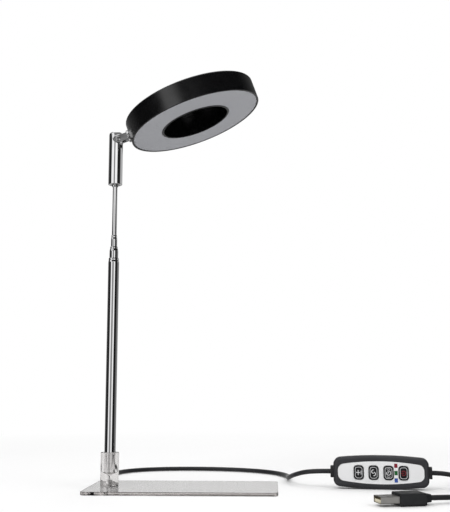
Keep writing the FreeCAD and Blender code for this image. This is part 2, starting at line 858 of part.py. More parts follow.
def arc_wire(points):
    """Straight runs joined by tangent arcs, each as large as its two runs allow."""
    edges = []
    start = points[0]
    radii = []
    for before, corner, after in zip(points, points[1:], points[2:]):
        run_in = corner - before
        run_out = after - corner
        turn = run_in.getAngle(run_out)
        reach = 0.45 * min(run_in.Length, run_out.Length)
        radii.append(reach / math.tan(turn / 2))
        unit_in = V(*run_in).normalize()
        unit_out = V(*run_out).normalize()
        entry = corner - unit_in * reach
        leave = corner + unit_out * reach
        to_centre = (unit_out - unit_in).normalize()
        middle = corner + to_centre * (radii[-1] / math.cos(turn / 2) - radii[-1])
        edges.append(Part.LineSegment(start, entry).toShape())
        edges.append(Part.Arc(entry, middle, leave).toShape())
        start = leave
    edges.append(Part.LineSegment(start, points[-1]).toShape())
    return Part.Wire(edges), radii


def swept(wire, start, way):
    """Round cord along a wire."""
    section = Part.Wire([Part.Circle(start, way, cord_r).toShape()])
    return wire.makePipeShell([section], True, False)


def cord_tube(node, points):
    """Free stretch of cord; its bends and its volume are printed."""
    wire, radii = arc_wire(points)
    solid = swept(wire, points[0], points[1] - points[0])
    ratio = solid.Volume / (math.pi * cord_r ** 2 * wire.Length)
    print(node, "length %.1f" % wire.Length, "volume ratio %.4f" % ratio,
          "radii", " ".join("%.1f" % r for r in radii))
    return solid


def coil_path():
    """Edges of the put-away coil, one half turn at a time, and its two ends."""
    step = coil_spacing / 2
    z = cord_r + tie_thickness + tie_gap
    place = V(coil_x, coil_y - coil_outer_r, z)
    heading = V(1, 0, 0)
    straight = 2 * cord_r
    begin = place - heading * straight
    edges = [Part.LineSegment(begin, place).toShape()]
    radius = coil_outer_r
    turns = []
    for layer in range(4):
        change = -step if layer % 2 == 0 else step
        count = coil_turns_in if layer == 0 else coil_turns_in - 1
        for _ in range(count):
            turns.append((radius, 0.0))
            radius += change
        if layer < 3:
            turns.append((radius, coil_spacing))
            radius -= change
    for radius, climb in turns[:-1]:
        place, heading = half_turn(edges, place, heading, radius, climb)
    left = V(-heading.y, heading.x, 0)
    last = turns[-1][0]
    centre = place + left * last
    middle = centre - left * last * math.cos(math.pi / 4) + heading * last * math.sin(math.pi / 4)
    end = centre + heading * last
    edges.append(Part.Arc(place, middle, end).toShape())
    finish = end + left * straight
    edges.append(Part.LineSegment(end, finish).toShape())
    return edges, begin, finish, left


def half_turn(edges, place, heading, radius, climb):
    """Add a half turn to the left; a climbing one is two tangent arcs."""
    left = V(-heading.y, heading.x, 0)
    far = place + left * (2 * radius) + V(0, 0, climb)
    if climb:
        out = math.sqrt(radius ** 2 + climb ** 2 / 4)
        joint = place + left * radius + heading * out + V(0, 0, climb / 2)
        rise = joint - place
        fall = far - joint
        edges.append(Part.Arc(place, place + rise * 0.5 + bulge(rise, heading), joint).toShape())
        edges.append(Part.Arc(joint, joint + fall * 0.5 - bulge(fall, heading * -1), far).toShape())
    else:
        middle = place + left * radius + heading * radius
        edges.append(Part.Arc(place, middle, far).toShape())
    return far, heading * -1


def bulge(chord, tangent):
    """Step from a chord's middle to the middle of the arc that leaves along the tangent."""
    side = tangent - chord * (tangent.dot(chord) / chord.dot(chord))
    return side.normalize() * (chord.Length / 2 * math.tan(chord.getAngle(tangent) / 2))


def least_gap(edges):
    """Smallest gap between stretches of the coil that aren't neighbours along it."""
    samples = []
    along = 0.0
    for edge in edges:
        count = max(2, int(edge.Length / 2.0))
        for i in range(count):
            t = edge.FirstParameter + (edge.LastParameter - edge.FirstParameter) * i / count
            samples.append((along + edge.Length * i / count, edge.valueAt(t)))
        along += edge.Length
    least = 1e9
    for i, (s, p) in enumerate(samples):
        for t, q in samples[i + 1:]:
            if t - s > 6 * cord_r:
                least = min(least, p.distanceToPoint(q))
    return least - 2 * cord_r


def cord_coil():
    edges, begin, finish, way = coil_path()
    wire = Part.Wire(edges)
    solid = swept(wire, begin, V(1, 0, 0))
    ratio = solid.Volume / (math.pi * cord_r ** 2 * wire.Length)
    print("cord_coil", "length %.1f" % wire.Length, "volume ratio %.4f" % ratio,
          "least gap %.2f" % least_gap(edges), "valid", solid.isValid())
    return solid, begin, finish, way


def cord_tie():
    """Flat band round the bundle of turns, on the side away from its tails."""
    x0 = coil_x + coil_outer_r - 2 * coil_spacing - cord_r - tie_gap
    x1 = coil_x + coil_outer_r + coil_spacing / 2 + cord_r + tie_gap
    top = tie_thickness + 2 * (cord_r + tie_gap) + 3 * coil_spacing
    half = tie_width / 2
    band = block(x0 - tie_thickness, x1 + tie_thickness, coil_y - half, coil_y + half, 0, top + tie_thickness)
    return band.cut(block(x0, x1, coil_y - half, coil_y + half, tie_thickness, top))


def along_case(x):
    """Point on the controller's cord line."""
    angle = math.radians(case_yaw)
    return V(case_x + x * math.cos(angle), case_y + x * math.sin(angle), case_width / 2 - case_land)


def along_plug(x):
    """Point on the plug's cord line."""
    angle = math.radians(plug_yaw)
    return V(plug_x + x * math.cos(angle), plug_y + x * math.sin(angle), plug_body_thickness / 2)


def make_cords():
    start = V(pole_x, 0, cord_hole_height) + cord_way() * (outer_tube_r + grommet_stand)
    way = cord_way()
    floor = cord_r + 0.05
    case_end = case_length / 2 + relief_collar_length
    to_controller = [start, start + way * 14, V(-62.2, 35.5, 28), V(-64.5, 47.5, 12), V(-68, 66, floor),
                     V(-71, 91, floor), V(-60, 117, floor), V(-34, 132, floor), V(2, 135, floor),
                     V(38, 127, floor), V(66, 108, floor), V(80, 80, floor), V(78, 54, 2.6),
                     V(82, 33, 7.5), along_case(-case_end - 16), along_case(-case_end)]
    save("cord_to_controller", cord_tube("cord_to_controller", to_controller))
    coil, begin, finish, leave = cord_coil()
    save("cord_coil", coil)
    to_coil = [along_case(case_end), along_case(case_end + 13), V(209, 3.3, 6.2), begin - V(12, 0, 0), begin]
    save("cord_to_coil", cord_tube("cord_to_coil", to_coil))
    to_plug_points = [finish, finish + leave * 10, V(215, -8, 11.0), V(212, -25, 5.2), V(203, -42, floor),
                      V(190, -55, 2.8), along_plug(-12), along_plug(0)]
    save("cord_to_plug", cord_tube("cord_to_plug", to_plug_points))


def build():
    os.makedirs("parts", exist_ok=True)
    save("base_plate", base_plate())
    save("pole_socket", pole_socket())
    save("socket_screw", socket_screw())
    save("pole_nose", pole_nose())
    save("outer_tube", outer_tube())
    save("cord_grommet", cord_grommet())
    save("second_tube", tube(second_tube_r, second_tube_wall, third_tube_r, second_foot, second_top))
    save("second_bush", foot_bush(second_tube_r, second_tube_r - second_tube_wall,
                                  outer_tube_r - outer_tube_wall, second_foot))
    save("third_tube", tube(third_tube_r, third_tube_wall, rod_r, third_foot, third_top))
    save("third_bush", foot_bush(third_tube_r, third_tube_r - third_tube_wall,
                                 second_tube_r - second_tube_wall, third_foot))
    save("top_rod", top_rod())
    save("rod_bush", foot_bush(rod_r, rod_bore_r, third_tube_r - third_tube_wall, rod_foot))
    save("rod_ferrule", rod_ferrule())
    save("hinge_sleeve", hinge_sleeve())
    save("sleeve_bush", sleeve_bush())
    save("hinge_fork", hinge_fork())
    save("hinge_pin", hinge_pin())
    save("friction_washers", friction_washers())
    save("neck_nut", neck_nut())
    save("ring_housing", ring_housing())
    save("ring_cover", ring_cover())
    save("diffuser_ring", diffuser_ring())
    save("led_board", led_board())
    save("led_chips", led_chips())
    save("board_screws", board_screws())
    save("controller_front", controller_front())
    save("controller_back", controller_back())
    save("controller_faceplate", controller_faceplate())
    names = ("brightness_button", "mode_button", "timer_button", "power_button")
    for name, x in zip(names, button_places()):
        save(name, button(x))
    for i, name in enumerate(("blue_indicator", "green_indicator", "red_indicator")):
        save(name, indicator(i))
    save("controller_board", controller_board())
    save("tact_switches", tact_switches())
    save("lamp_side_relief", controller_relief(-1))
    save("plug_side_relief", controller_relief(1))
    save("plug_body", plug_body())
    save("plug_shell", plug_shell())
    save("plug_tongue", plug_tongue())
    save("plug_contacts", plug_contacts())
    make_cords()
    save("cord_tie", cord_tie())
    for node, shape in made:
        solids = shape.Solids
        print("%-22s solids %d volume %.1f valid %s" % (node, len(solids), shape.Volume, shape.isValid()))


build()
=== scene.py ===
import functools
import logging
import math
from dataclasses import dataclass
from enum import Enum

import bmesh
import bpy
from mathutils import Matrix, Vector


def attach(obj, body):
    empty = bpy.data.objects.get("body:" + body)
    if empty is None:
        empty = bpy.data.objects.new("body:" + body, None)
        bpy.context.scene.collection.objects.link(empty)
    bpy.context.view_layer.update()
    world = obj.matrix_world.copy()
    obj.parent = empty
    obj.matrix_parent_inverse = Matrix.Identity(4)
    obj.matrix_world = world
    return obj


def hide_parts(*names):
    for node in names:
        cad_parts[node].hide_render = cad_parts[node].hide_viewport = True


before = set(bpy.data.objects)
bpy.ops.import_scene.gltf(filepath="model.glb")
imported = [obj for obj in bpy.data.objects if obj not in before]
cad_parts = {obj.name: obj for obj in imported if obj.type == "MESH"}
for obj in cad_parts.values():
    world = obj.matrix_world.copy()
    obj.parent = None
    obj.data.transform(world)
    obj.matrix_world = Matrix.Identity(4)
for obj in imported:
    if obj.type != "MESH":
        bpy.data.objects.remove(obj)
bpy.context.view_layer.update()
LOG = logging.getLogger("grow_light")

Pair = tuple[float, float]
Triple = tuple[float, float, float]
Outline = tuple[Pair, ...]
Shape = bmesh.types.BMesh
Corner = bmesh.types.BMVert
Edge = bmesh.types.BMEdge
Object = bpy.types.Object
Node = bpy.types.Node
Socket = bpy.types.NodeSocket

MM = 0.001
CENTRE = Vector((0, 0, 0))
UP = Vector((0, 0, 1))
BACK = Vector((0, 1, 0))
Z_TO_X = Matrix.Rotation(math.pi / 2, 4, "Y")
Z_TO_FRONT = Matrix.Rotation(math.pi / 2, 4, "X")
POLE_X = -55.3
AT_POLE = Matrix.Translation((POLE_X, 0, 0))
PIN = Vector((-53.1, 0.0, 269.4))
ON_ARM = Matrix.Translation(PIN) @ Matrix.Rotation(math.radians(-19.6), 4, "Y")
CORD_R = 1.75
PAST = 1.0  # how far a cutting shape stands out of what it cuts
SAME = 1e-4  # points nearer than this are one
EVEN = (1.0, 1.0, 1.0)
ALONG_X = (0.05, 1.0, 1.0)


class Body(Enum):
    """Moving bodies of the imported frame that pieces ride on."""

    FOOT = "foot"
    SECOND = "second_section"
    THIRD = "third_section"
    TOP = "top_section"
    SLEEVE = "sleeve"
    HEAD = "head"
    BRIGHTNESS = "brightness_button"
    MODE = "mode_button"
    TIMER = "timer_button"
    POWER = "power_button"


BUTTONS = (Body.BRIGHTNESS, Body.MODE, Body.TIMER, Body.POWER)  # from left to right


class Way(Enum):
    """Ways in which solids act on each other."""

    CUT = "DIFFERENCE"
    JOIN = "UNION"
    COMMON = "INTERSECT"


# Finishes


class Bench:
    """Node tree in the making, with short calls for the nodes that the finishes use."""

    colour_a, colour_b, colour_result = 6, 7, 2  # places of the colour sockets on a Mix node

    def __init__(self, tree: bpy.types.NodeTree) -> None:
        """Take over a tree and the shader in it, of a surface or of the surround."""
        self.tree = tree
        self.shader = tree.nodes.get("Principled BSDF") or tree.nodes["Background"]

    def set(self, **values: object) -> None:
        """Set plain values on the shader's sockets; underscores stand for spaces."""
        for name, value in values.items():
            self.shader.inputs[name.replace("_", " ")].default_value = value

    def feed(self, name: str, source: Socket) -> None:
        """Join a socket to one of the shader's."""
        self.tree.links.new(source, self.shader.inputs[name])

    def end(self, name: str, node: Node) -> None:
        """Join a node to the material's surface or volume."""
        self.tree.links.new(node.outputs[0], self.tree.nodes["Material Output"].inputs[name])

    def node(self, kind: str, inputs: dict[str | int, object] | None = None, **settings: object) -> Node:
        """Add a node.

        Args:
            kind: Type of the node, without the words that all shader nodes share.
            inputs: Plain value or feeding socket of each input.
            settings: Properties of the node.

        Returns:
            The node.
        """
        node = self.tree.nodes.new("ShaderNode" + kind)
        for name, value in settings.items():
            setattr(node, name, value)
        for name, value in (inputs or {}).items():
            if isinstance(value, Socket):
                self.tree.links.new(value, node.inputs[name])
            else:
                node.inputs[name].default_value = value
        return node

    def math(self, operation: str, *values: object) -> Socket:
        """Work out a number from sockets and plain values."""
        return self.node("Math", dict(enumerate(values)), operation=operation).outputs[0]

    def coords(self, stretch: Triple = EVEN) -> Socket:
        """Object coordinates, scaled along each axis."""
        source = self.node("TexCoord").outputs["Object"]
        return self.node("Mapping", {"Vector": source, "Scale": stretch}).outputs[0]

    def parts(self, source: str = "Object") -> dict[str, Socket]:
        """X, Y and Z of a place on the object, or of a direction in the surround."""
        split = self.node("SeparateXYZ", {0: self.node("TexCoord").outputs[source]})
        return dict(split.outputs.items())

    def noise(self, size_mm: float, detail: float, stretch: Triple = EVEN, bend: float = 0.0) -> Socket:
        """Noise whose blobs have a real size.

        Args:
            size_mm: Size of a blob in millimetres.
            detail: Octaves of finer noise in it.
            stretch: Scale of the pattern along each axis.
            bend: How far the pattern is distorted.

        Returns:
            The noise factor.
        """
        inputs = {"Vector": self.coords(stretch), "Scale": 1.0 / (size_mm * MM), "Detail": detail,
                  "Distortion": bend}
        return self.node("TexNoise", inputs).outputs["Fac"]

    def between(self, factor: Socket, low: float, high: float, start: float = 0.3,
                end: float = 0.7) -> Socket:
        """Map a factor from a range to values.

        Args:
            factor: The factor to map.
            low: Value at the start.
            high: Value at the end.
            start: Factor that gives the low value.
            end: Factor that gives the high value.

        Returns:
            The mapped value.
        """
        inputs = {"Value": factor, "From Min": start, "From Max": end, "To Min": low, "To Max": high}
        return self.node("MapRange", inputs).outputs["Result"]

    def mix(self, factor: Socket, first: Triple, second: Triple) -> Socket:
        """Mix two colours by a factor."""
        inputs = {"Factor": factor, self.colour_a: (*first, 1.0), self.colour_b: (*second, 1.0)}
        return self.node("Mix", inputs, data_type="RGBA").outputs[self.colour_result]

    def blend(self, factor: Socket, first: object, second: object) -> Socket:
        """Mix two numbers by a factor."""
        return self.node("Mix", {"Factor": factor, "A": first, "B": second}, data_type="FLOAT").outputs[0]

    def mix_shaders(self, factor: Socket, first: Node, second: Node) -> Node:
        """Mix two shaders by a factor."""
        return self.node("MixShader", {0: factor, 1: first.outputs[0], 2: second.outputs[0]})

    def rays(self, *kinds: str) -> Socket:
        """One for rays of the given kinds and zero for the rest."""
        path = self.node("LightPath").outputs
        return functools.reduce(lambda a, b: self.math("MAXIMUM", a, b), [path[kind] for kind in kinds])

    def seen(self) -> Socket:
        """One for rays from the camera, from polished faces and through clear ones."""
        return self.rays("Is Camera Ray", "Is Glossy Ray", "Is Transmission Ray")

    def cloud(self, size_mm: float, detail: float, first: Triple, second: Triple) -> None:
        """Let the base colour drift between two shades."""
        share = self.between(self.noise(size_mm, detail), 0.0, 1.0)
        self.feed("Base Color", self.mix(share, first, second))

    def gloss(self, size_mm: float, detail: float, low: float, high: float, start: float = 0.3,
              end: float = 0.7) -> None:
        """Let the roughness drift between two values."""
        self.feed("Roughness", self.between(self.noise(size_mm, detail), low, high, start, end))

    def bump(self, height: Socket, depth_mm: float) -> None:
        """Raise the surface by a pattern of real depth."""
        inputs = {"Height": height, "Distance": depth_mm * MM}
        self.feed("Normal", self.node("Bump", inputs).outputs["Normal"])


def shade(colour: Triple, factor: float, lift: float = 0.0) -> Triple:
    """Lighter or darker shade of a colour."""
    return tuple(min(1.0, c * factor + lift) for c in colour)


@dataclass(frozen=True)
class Finish:
    """Name, colour and roughness of a surface, to which each kind of finish adds its own nodes."""

    name: str
    colour: Triple
    roughness: float

    def lay(self, bench: Bench) -> None:
        """Lay the finish's nodes."""
        raise NotImplementedError

    def material(self) -> bpy.types.Material:
        """Build the material.

        Returns:
            The material.
        """
        made = bpy.data.materials.new(self.name)
        made.use_nodes = True
        self.lay(Bench(made.node_tree))
        return made


@dataclass(frozen=True)
class Moulding(Finish):
    """Moulded plastic or rubber with a fine grain, uneven gloss and faint clouding."""

    grain_mm: float = 0.35
    grain_depth: float = 0.012
    clouding: float = 0.12
    gloss_swing: float = 0.05
    specular: float = 0.5
    sheen: float = 0.0

    def lay(self, bench: Bench) -> None:
        """Lay the finish's nodes.

        Args:
            bench: Tree to lay them in.
        """
        bench.set(Specular_IOR_Level=self.specular, Sheen_Weight=self.sheen, Sheen_Roughness=0.4)
        deep, pale = shade(self.colour, 1 - self.clouding), shade(self.colour, 1 + self.clouding)
        bench.cloud(size_mm=14.0, detail=4.0, first=deep, second=pale)
        low, high = self.roughness - self.gloss_swing, self.roughness + self.gloss_swing
        bench.gloss(size_mm=5.0, detail=5.0, low=low, high=high)
        bench.bump(bench.noise(self.grain_mm, detail=2.0), self.grain_depth)


@dataclass(frozen=True)
class Plating(Finish):
    """Polished or brushed metal, with drawn lines along its length and faint haze."""

    lines_depth: float = 0.0015
    stretch: Triple = (1.0, 1.0, 0.02)
    haze: float = 0.04

    def lay(self, bench: Bench) -> None:
        """Lay the finish's nodes.

        Args:
            bench: Tree to lay them in.
        """
        bench.set(Metallic=1.0)
        bench.cloud(size_mm=9.0, detail=4.0, first=shade(self.colour, 0.94), second=self.colour)
        hazed = self.roughness + self.haze
        bench.gloss(size_mm=3.0, detail=6.0, low=self.roughness, high=hazed, start=0.4, end=0.75)
        bench.bump(bench.noise(size_mm=0.25, detail=1.0, stretch=self.stretch), self.lines_depth)


@dataclass(frozen=True)
class ClearCast(Finish):
    """Clear cast plastic with polished faces, a few hairline scratches and a painted shade above the plate.
    """

    ior: float = 1.49
    lets_through: Triple = (0.98, 0.98, 0.98)
    depth_tint: Triple = (0.42, 0.36, 0.33)
    density: float = 11.0
    # upright: darker base colour above the plate, a painted shade on the upright socket
    upright: Triple = (0.81, 0.80, 0.795)
    painted_shade_from: Pair = (0.003, 0.006)
    haze: float = 0.03
    scratches: Triple = (0.03, 1.0, 1.0)

    def lay(self, bench: Bench) -> None:
        """Lay the finish's nodes.

        Args:
            bench: Tree to lay them in.
        """
        bench.set(Transmission_Weight=1.0, IOR=self.ior)
        # Painted shade: the base colour turns darker above the plate, so the upright socket looks shaded
        above = bench.between(bench.parts()["Z"], 0.0, 1.0, *self.painted_shade_from)
        bench.feed("Base Color", bench.mix(above, self.colour, self.upright))
        hazed = self.roughness + self.haze
        bench.gloss(size_mm=6.0, detail=5.0, low=self.roughness, high=hazed, start=0.5, end=0.8)
        hairlines = bench.noise(size_mm=0.5, detail=1.0, stretch=self.scratches, bend=0.4)
        bench.bump(hairlines, depth_mm=0.001)
        lit = bench.rays("Is Shadow Ray", "Is Diffuse Ray")
        through = bench.node("BsdfTransparent", {"Color": (*self.lets_through, 1.0)})
        bench.end("Surface", bench.mix_shaders(lit, bench.shader, through))
        tint = {"Color": (*self.depth_tint, 1.0), "Density": self.density}
        bench.end("Volume", bench.node("VolumeAbsorption", tint))


@dataclass(frozen=True)
class OpalSheet(Finish):
    """Grey-white opal sheet with soft scattering and a fine matte tooth."""

    gloss_swing: float = 0.04

    def lay(self, bench: Bench) -> None:
        """Lay the finish's nodes.

        Args:
            bench: Tree to lay them in.
        """
        bench.set(Subsurface_Weight=0.15, Subsurface_Scale=0.002, Subsurface_Radius=(1.0, 1.0, 1.0),
                  Specular_IOR_Level=0.35)
        bench.cloud(size_mm=30.0, detail=2.0, first=self.colour, second=shade(self.colour, 1.03))
        low, high = self.roughness - self.gloss_swing, self.roughness + self.gloss_swing
        bench.gloss(size_mm=2.0, detail=4.0, low=low, high=high)
        bench.bump(bench.noise(size_mm=0.22, detail=2.0), depth_mm=0.006)


@dataclass(frozen=True)
class TintedLens(Finish):
    """Small tinted indicator lens with a clear gloss."""

    def lay(self, bench: Bench) -> None:
        """Lay the finish's nodes.

        Args:
            bench: Tree to lay them in.
        """
        bench.set(Roughness=self.roughness, Coat_Weight=0.6, Coat_Roughness=0.05)
        paler = shade(self.colour, factor=1.5, lift=0.01)
        bench.cloud(size_mm=1.2, detail=2.0, first=self.colour, second=paler)
        bench.bump(bench.noise(size_mm=0.8, detail=1.0), depth_mm=0.004)


@dataclass(frozen=True)
class PaleFloor(Finish):
    """Pale matte floor that turns into the white surround some way from the object.

    Where it is seen through clear plastic from the front, part of the surround shows through it.
    """

    white_from: float = 0.40
    white_by: float = 0.75
    share_through: float = 0.6
    clear_until: float = -0.14
    closed_from: float = -0.08

    def lay(self, bench: Bench) -> None:
        """Lay the finish's nodes.

        Args:
            bench: Tree to lay them in.
        """
        bench.set(Base_Color=(*self.colour, 1.0), Roughness=self.roughness, Specular_IOR_Level=0.1)
        away = bench.node("VectorMath", {0: bench.coords()}, operation="LENGTH").outputs["Value"]
        fade = bench.between(away, 0.0, 1.0, self.white_from, self.white_by)
        glow = bench.math("MULTIPLY", fade, bench.seen())
        paint = bench.mix_shaders(glow, bench.shader, bench.node("Emission"))
        front = bench.between(bench.parts()["Y"], self.share_through, 0.0, self.clear_until, self.closed_from)
        share = bench.math("MULTIPLY", bench.rays("Is Transmission Ray"), front)
        bench.end("Surface", bench.mix_shaders(share, paint, bench.node("BsdfTransparent")))


# After colour and roughness come, on metal, the depth and stretch of its lines, and on mouldings the
# size and depth of the grain in millimetres, the clouding and the swing of the gloss.
FINISHES = {look.name: look for look in (
    Plating("chrome", (0.93, 0.93, 0.935), 0.03),
    Plating("bright", (0.93, 0.93, 0.935), 0.03, 0.0004, EVEN),
    Plating("steel", (0.60, 0.60, 0.60), 0.24, 0.003, EVEN),
    Plating("shell_steel", (0.50, 0.49, 0.47), 0.34, 0.002, ALONG_X),
    Plating("brass", (0.78, 0.60, 0.28), 0.2, 0.002, ALONG_X),
    ClearCast("clear_acrylic", (0.88, 0.872, 0.868), 0.015),
    Moulding("black_shell", (0.0015, 0.0015, 0.002), 0.22, 0.25, 0.002, 0.1, 0.03, specular=0.9),
    Moulding("grip", (0.012, 0.013, 0.015), 0.42, 0.25, 0.01, 0.15),
    # The diffuser's grey is partly its own tone and partly painted shade of its downward face
    OpalSheet("diffuser", (0.325, 0.329, 0.349), 0.42),
    Moulding("white_board", (0.80, 0.80, 0.78), 0.4),
    Moulding("led", (0.85, 0.72, 0.25), 0.3, 0.5, 0.004),
    Moulding("black_rubber", (0.014, 0.014, 0.016), 0.38, 0.3, 0.006, 0.15, sheen=0.2),
    Moulding("grey_shell", (0.030, 0.030, 0.034), 0.40, 0.22, 0.014),
    Moulding("silver_face", (0.78, 0.78, 0.785), 0.34, 0.2, 0.004, 0.02),
    Moulding("button_black", (0.006, 0.006, 0.007), 0.3, 0.25, 0.005, 0.1, 0.04),
    Moulding("symbol_silver", (0.72, 0.72, 0.73), 0.35, 0.2, 0.003, 0.03, 0.04),
    Moulding("symbol_red", (0.22, 0.012, 0.02), 0.35, 0.2, 0.003, 0.1, 0.04),
    TintedLens("blue_window", (0.025, 0.06, 0.26), 0.18),
    TintedLens("green_window", (0.008, 0.085, 0.02), 0.18),
    TintedLens("red_window", (0.16, 0.006, 0.016), 0.18),
    Moulding("green_board", (0.02, 0.14, 0.06), 0.3, 1.0, 0.01),
    Moulding("nylon", (0.62, 0.61, 0.57), 0.4, 0.4, 0.008),
    Moulding("ivory_insert", (0.80, 0.74, 0.56), 0.35, 0.4, 0.006))}


@functools.cache
def finish(name: str) -> bpy.types.Material:
    """Give a finish's material, built once."""
    return FINISHES[name].material()


# Shapes, in millimetres until they are kept


def soften(bm: Shape, geom: list, radius: float, segments: int = 3, affect: str = "EDGES") -> None:
    """Round edges, or the corners of an outline."""
    bmesh.ops.bevel(bm, geom=geom, offset=radius, offset_type="OFFSET", segments=segments, profile=0.5,
                    affect=affect, material=-1, clamp_overlap=True)


def rim(bm: Shape, z: float) -> list[Edge]:
    """Give the edges that lie at a height."""
    return [e for e in bm.edges if all(abs(v.co.z - z) < SAME for v in e.verts)]


def upright(bm: Shape) -> list[Edge]:
    """Give the edges that climb."""
    return [e for e in bm.edges if abs(e.verts[0].co.z - e.verts[1].co.z) > SAME]


def chain(bm: Shape, corners: list[Corner]) -> None:
    """Join corners by edges, one after another."""
    for pair in zip(corners, corners[1:]):
        bm.edges.new(pair)


def arc(bm: Shape, start: Triple, angle: float, steps: int) -> tuple[Corner, Corner]:
    """Draw an arc about the Y axis.

    Args:
        bm: Shape to draw it in.
        start: Place where it starts.
        angle: How far it turns.
        steps: Number of its edges.

    Returns:
        Its first and last corner.
    """
    first = bm.verts.new(start)
    bmesh.ops.spin(bm, geom=[first], cent=CENTRE, axis=BACK, angle=angle, steps=steps)
    last = next(v for v in bm.verts if v is not first and len(v.link_edges) == 1)
    return first, last


def raised(bm: Shape, base: Vector, rise: Vector) -> Shape:
    """Fill an outline, move it and raise it to a solid.

    Args:
        bm: Shape that holds the outline.
        base: How far the outline moves first.
        rise: From the first face of the solid to the last.

    Returns:
        The solid, in the same shape.
    """
    fill = bmesh.ops.contextual_create(bm, geom=bm.edges[:])["faces"]
    lifted = bmesh.ops.extrude_face_region(bm, geom=fill)["geom"]
    moved = [v for v in lifted if isinstance(v, Corner)]
    bmesh.ops.translate(bm, verts=bm.verts[:], vec=base)
    bmesh.ops.translate(bm, verts=moved, vec=rise)
    bmesh.ops.recalc_face_normals(bm, faces=bm.faces[:])
    return bm


def turned(outline: Outline, rounds: dict[int, float] | None = None, small: float = 0.12,
           closed: bool = False, steps: int = 96) -> Shape:
    """Spin an outline about the Z axis.

    Args:
        outline: Radius and height of each corner; an open outline starts and ends on the axis.
        rounds: Rounding radius of single corners by index.
        small: Rounding of the other corners, 0 to leave them.
        closed: Whether the last corner joins the first.
        steps: Steps in the full turn.

    Returns:
        The turned shape.
    """
    bm = bmesh.new()
    corners = [bm.verts.new((r, 0, z)) for r, z in outline]
    chain(bm, corners + corners[:1] if closed else corners)
    big = rounds or {}
    for index, radius in big.items():
        soften(bm, [corners[index]], radius, segments=6, affect="VERTICES")
    rest = [c for i, c in enumerate(corners) if i not in big and c.is_valid and c.co.x > SAME]
    if small:
        soften(bm, rest, small, segments=2, affect="VERTICES")
    bmesh.ops.spin(bm, geom=bm.verts[:] + bm.edges[:], cent=CENTRE, axis=UP, angle=math.tau, steps=steps,
                   use_merge=True)
    bmesh.ops.remove_doubles(bm, verts=bm.verts[:], dist=SAME)
    bmesh.ops.recalc_face_normals(bm, faces=bm.faces[:])
    return bm


def round_bar(r: float, z0: float, z1: float, steps: int = 48) -> Shape:
    """Make a plain round solid, to cut, join or trim with."""
    return turned(((0, z0), (r, z0), (r, z1), (0, z1)), small=0.0, steps=steps)


def rounded_box(half_x: float, half_y: float, z: Pair, corner: float = 0.0, top_round: float = 0.0,
                foot_round: float = 0.0, steps: int = 6, at: Pair = (0.0, 0.0)) -> Shape:
    """Make a box with rounded upright edges.

    Args:
        half_x: Half its size along X.
        half_y: Half its size along Y.
        z: Lowest and highest height.
        corner: Radius of the upright edges.
        top_round: Radius of the upper rim.
        foot_round: Radius of the lower rim.
        steps: Segments in a rounded corner.
        at: Place of its middle in X and Y.

    Returns:
        The box.
    """
    bm = bmesh.new()
    bmesh.ops.create_cube(bm, size=2.0)
    bmesh.ops.scale(bm, vec=(half_x, half_y, (z[1] - z[0]) / 2), verts=bm.verts[:])
    bmesh.ops.translate(bm, vec=(*at, (z[0] + z[1]) / 2), verts=bm.verts[:])
    if corner:
        soften(bm, upright(bm), corner, steps)
    if top_round:
        soften(bm, rim(bm, z[1]), top_round)
    if foot_round:
        soften(bm, rim(bm, z[0]), foot_round)
    return bm


def barrel(length: float, width: float, end_width: float, corner: float, z: Pair, steps: int = 28) -> Shape:
    """Raise an outline with bowed long sides and straight, round-cornered ends.

    Args:
        length: Length over all.
        width: Width at the middle.
        end_width: Width at the ends.
        corner: Radius of the corners.
        z: Lowest and highest height.
        steps: Steps along a bowed side.

    Returns:
        The solid.
    """
    half, rise = length / 2, (width - end_width) / 2
    bow = (half ** 2 + rise ** 2) / (2 * rise)
    sweep = 2 * math.asin(half / bow)
    lead = (corner + 0.5) / bow  # the edges next to a corner are longer than its rounding
    bm = bmesh.new()
    for side in (1, -1):
        geom = [bm.verts.new((-side * half, side * end_width / 2, 0))]
        centre = (0, side * (width / 2 - bow), 0)
        for angle, count in ((lead, 1), (sweep - 2 * lead, steps), (lead, 1)):
            geom = bmesh.ops.spin(bm, geom=geom, cent=centre, axis=UP, angle=-angle, steps=count)["geom_last"]
    ends = [v for v in bm.verts if len(v.link_edges) == 1]
    for x in (-half, half):
        bm.edges.new([v for v in ends if abs(v.co.x - x) < SAME])
    soften(bm, ends, corner, segments=8, affect="VERTICES")
    return raised(bm, UP * z[0], UP * (z[1] - z[0]))


def as_object(name: str, bm: Shape) -> Object:
    """Make an object of a shape.

    Args:
        name: Name of the object and of its mesh.
        bm: The shape, which is freed.

    Returns:
        The object.
    """
    mesh = bpy.data.meshes.new(name)
    bm.to_mesh(mesh)
    bm.free()
    obj = bpy.data.objects.new(name, mesh)
    bpy.context.collection.objects.link(obj)
    return obj


def discard(objects: list[Object]) -> None:
    """Remove helper objects and their meshes."""
    for mesh in [obj.data for obj in objects]:
        bpy.data.meshes.remove(mesh)


def combine(way: Way, base: Shape, *others: Shape) -> Shape:
    """Cut, join or intersect solids.

    Args:
        way: How the others act on the first solid.
        base: The first solid.
        others: The solids that act on it, one after another.

    Returns:
        The result.
    """
    target = as_object("cut_target", base)
    tools = [as_object("cut_tool", bm) for bm in others]
    for tool in tools:
        step = target.modifiers.new("cut", "BOOLEAN")
        step.operation, step.object, step.solver = way.value, tool, "EXACT"
    done = target.evaluated_get(bpy.context.evaluated_depsgraph_get())
    result = bmesh.new()
    result.from_mesh(done.to_mesh())
    done.to_mesh_clear()
    discard([target, *tools])
    bmesh.ops.remove_doubles(result, verts=result.verts[:], dist=SAME)
    bmesh.ops.dissolve_degenerate(result, dist=SAME, edges=result.edges[:])
    bmesh.ops.recalc_face_normals(result, faces=result.faces[:])
    return result


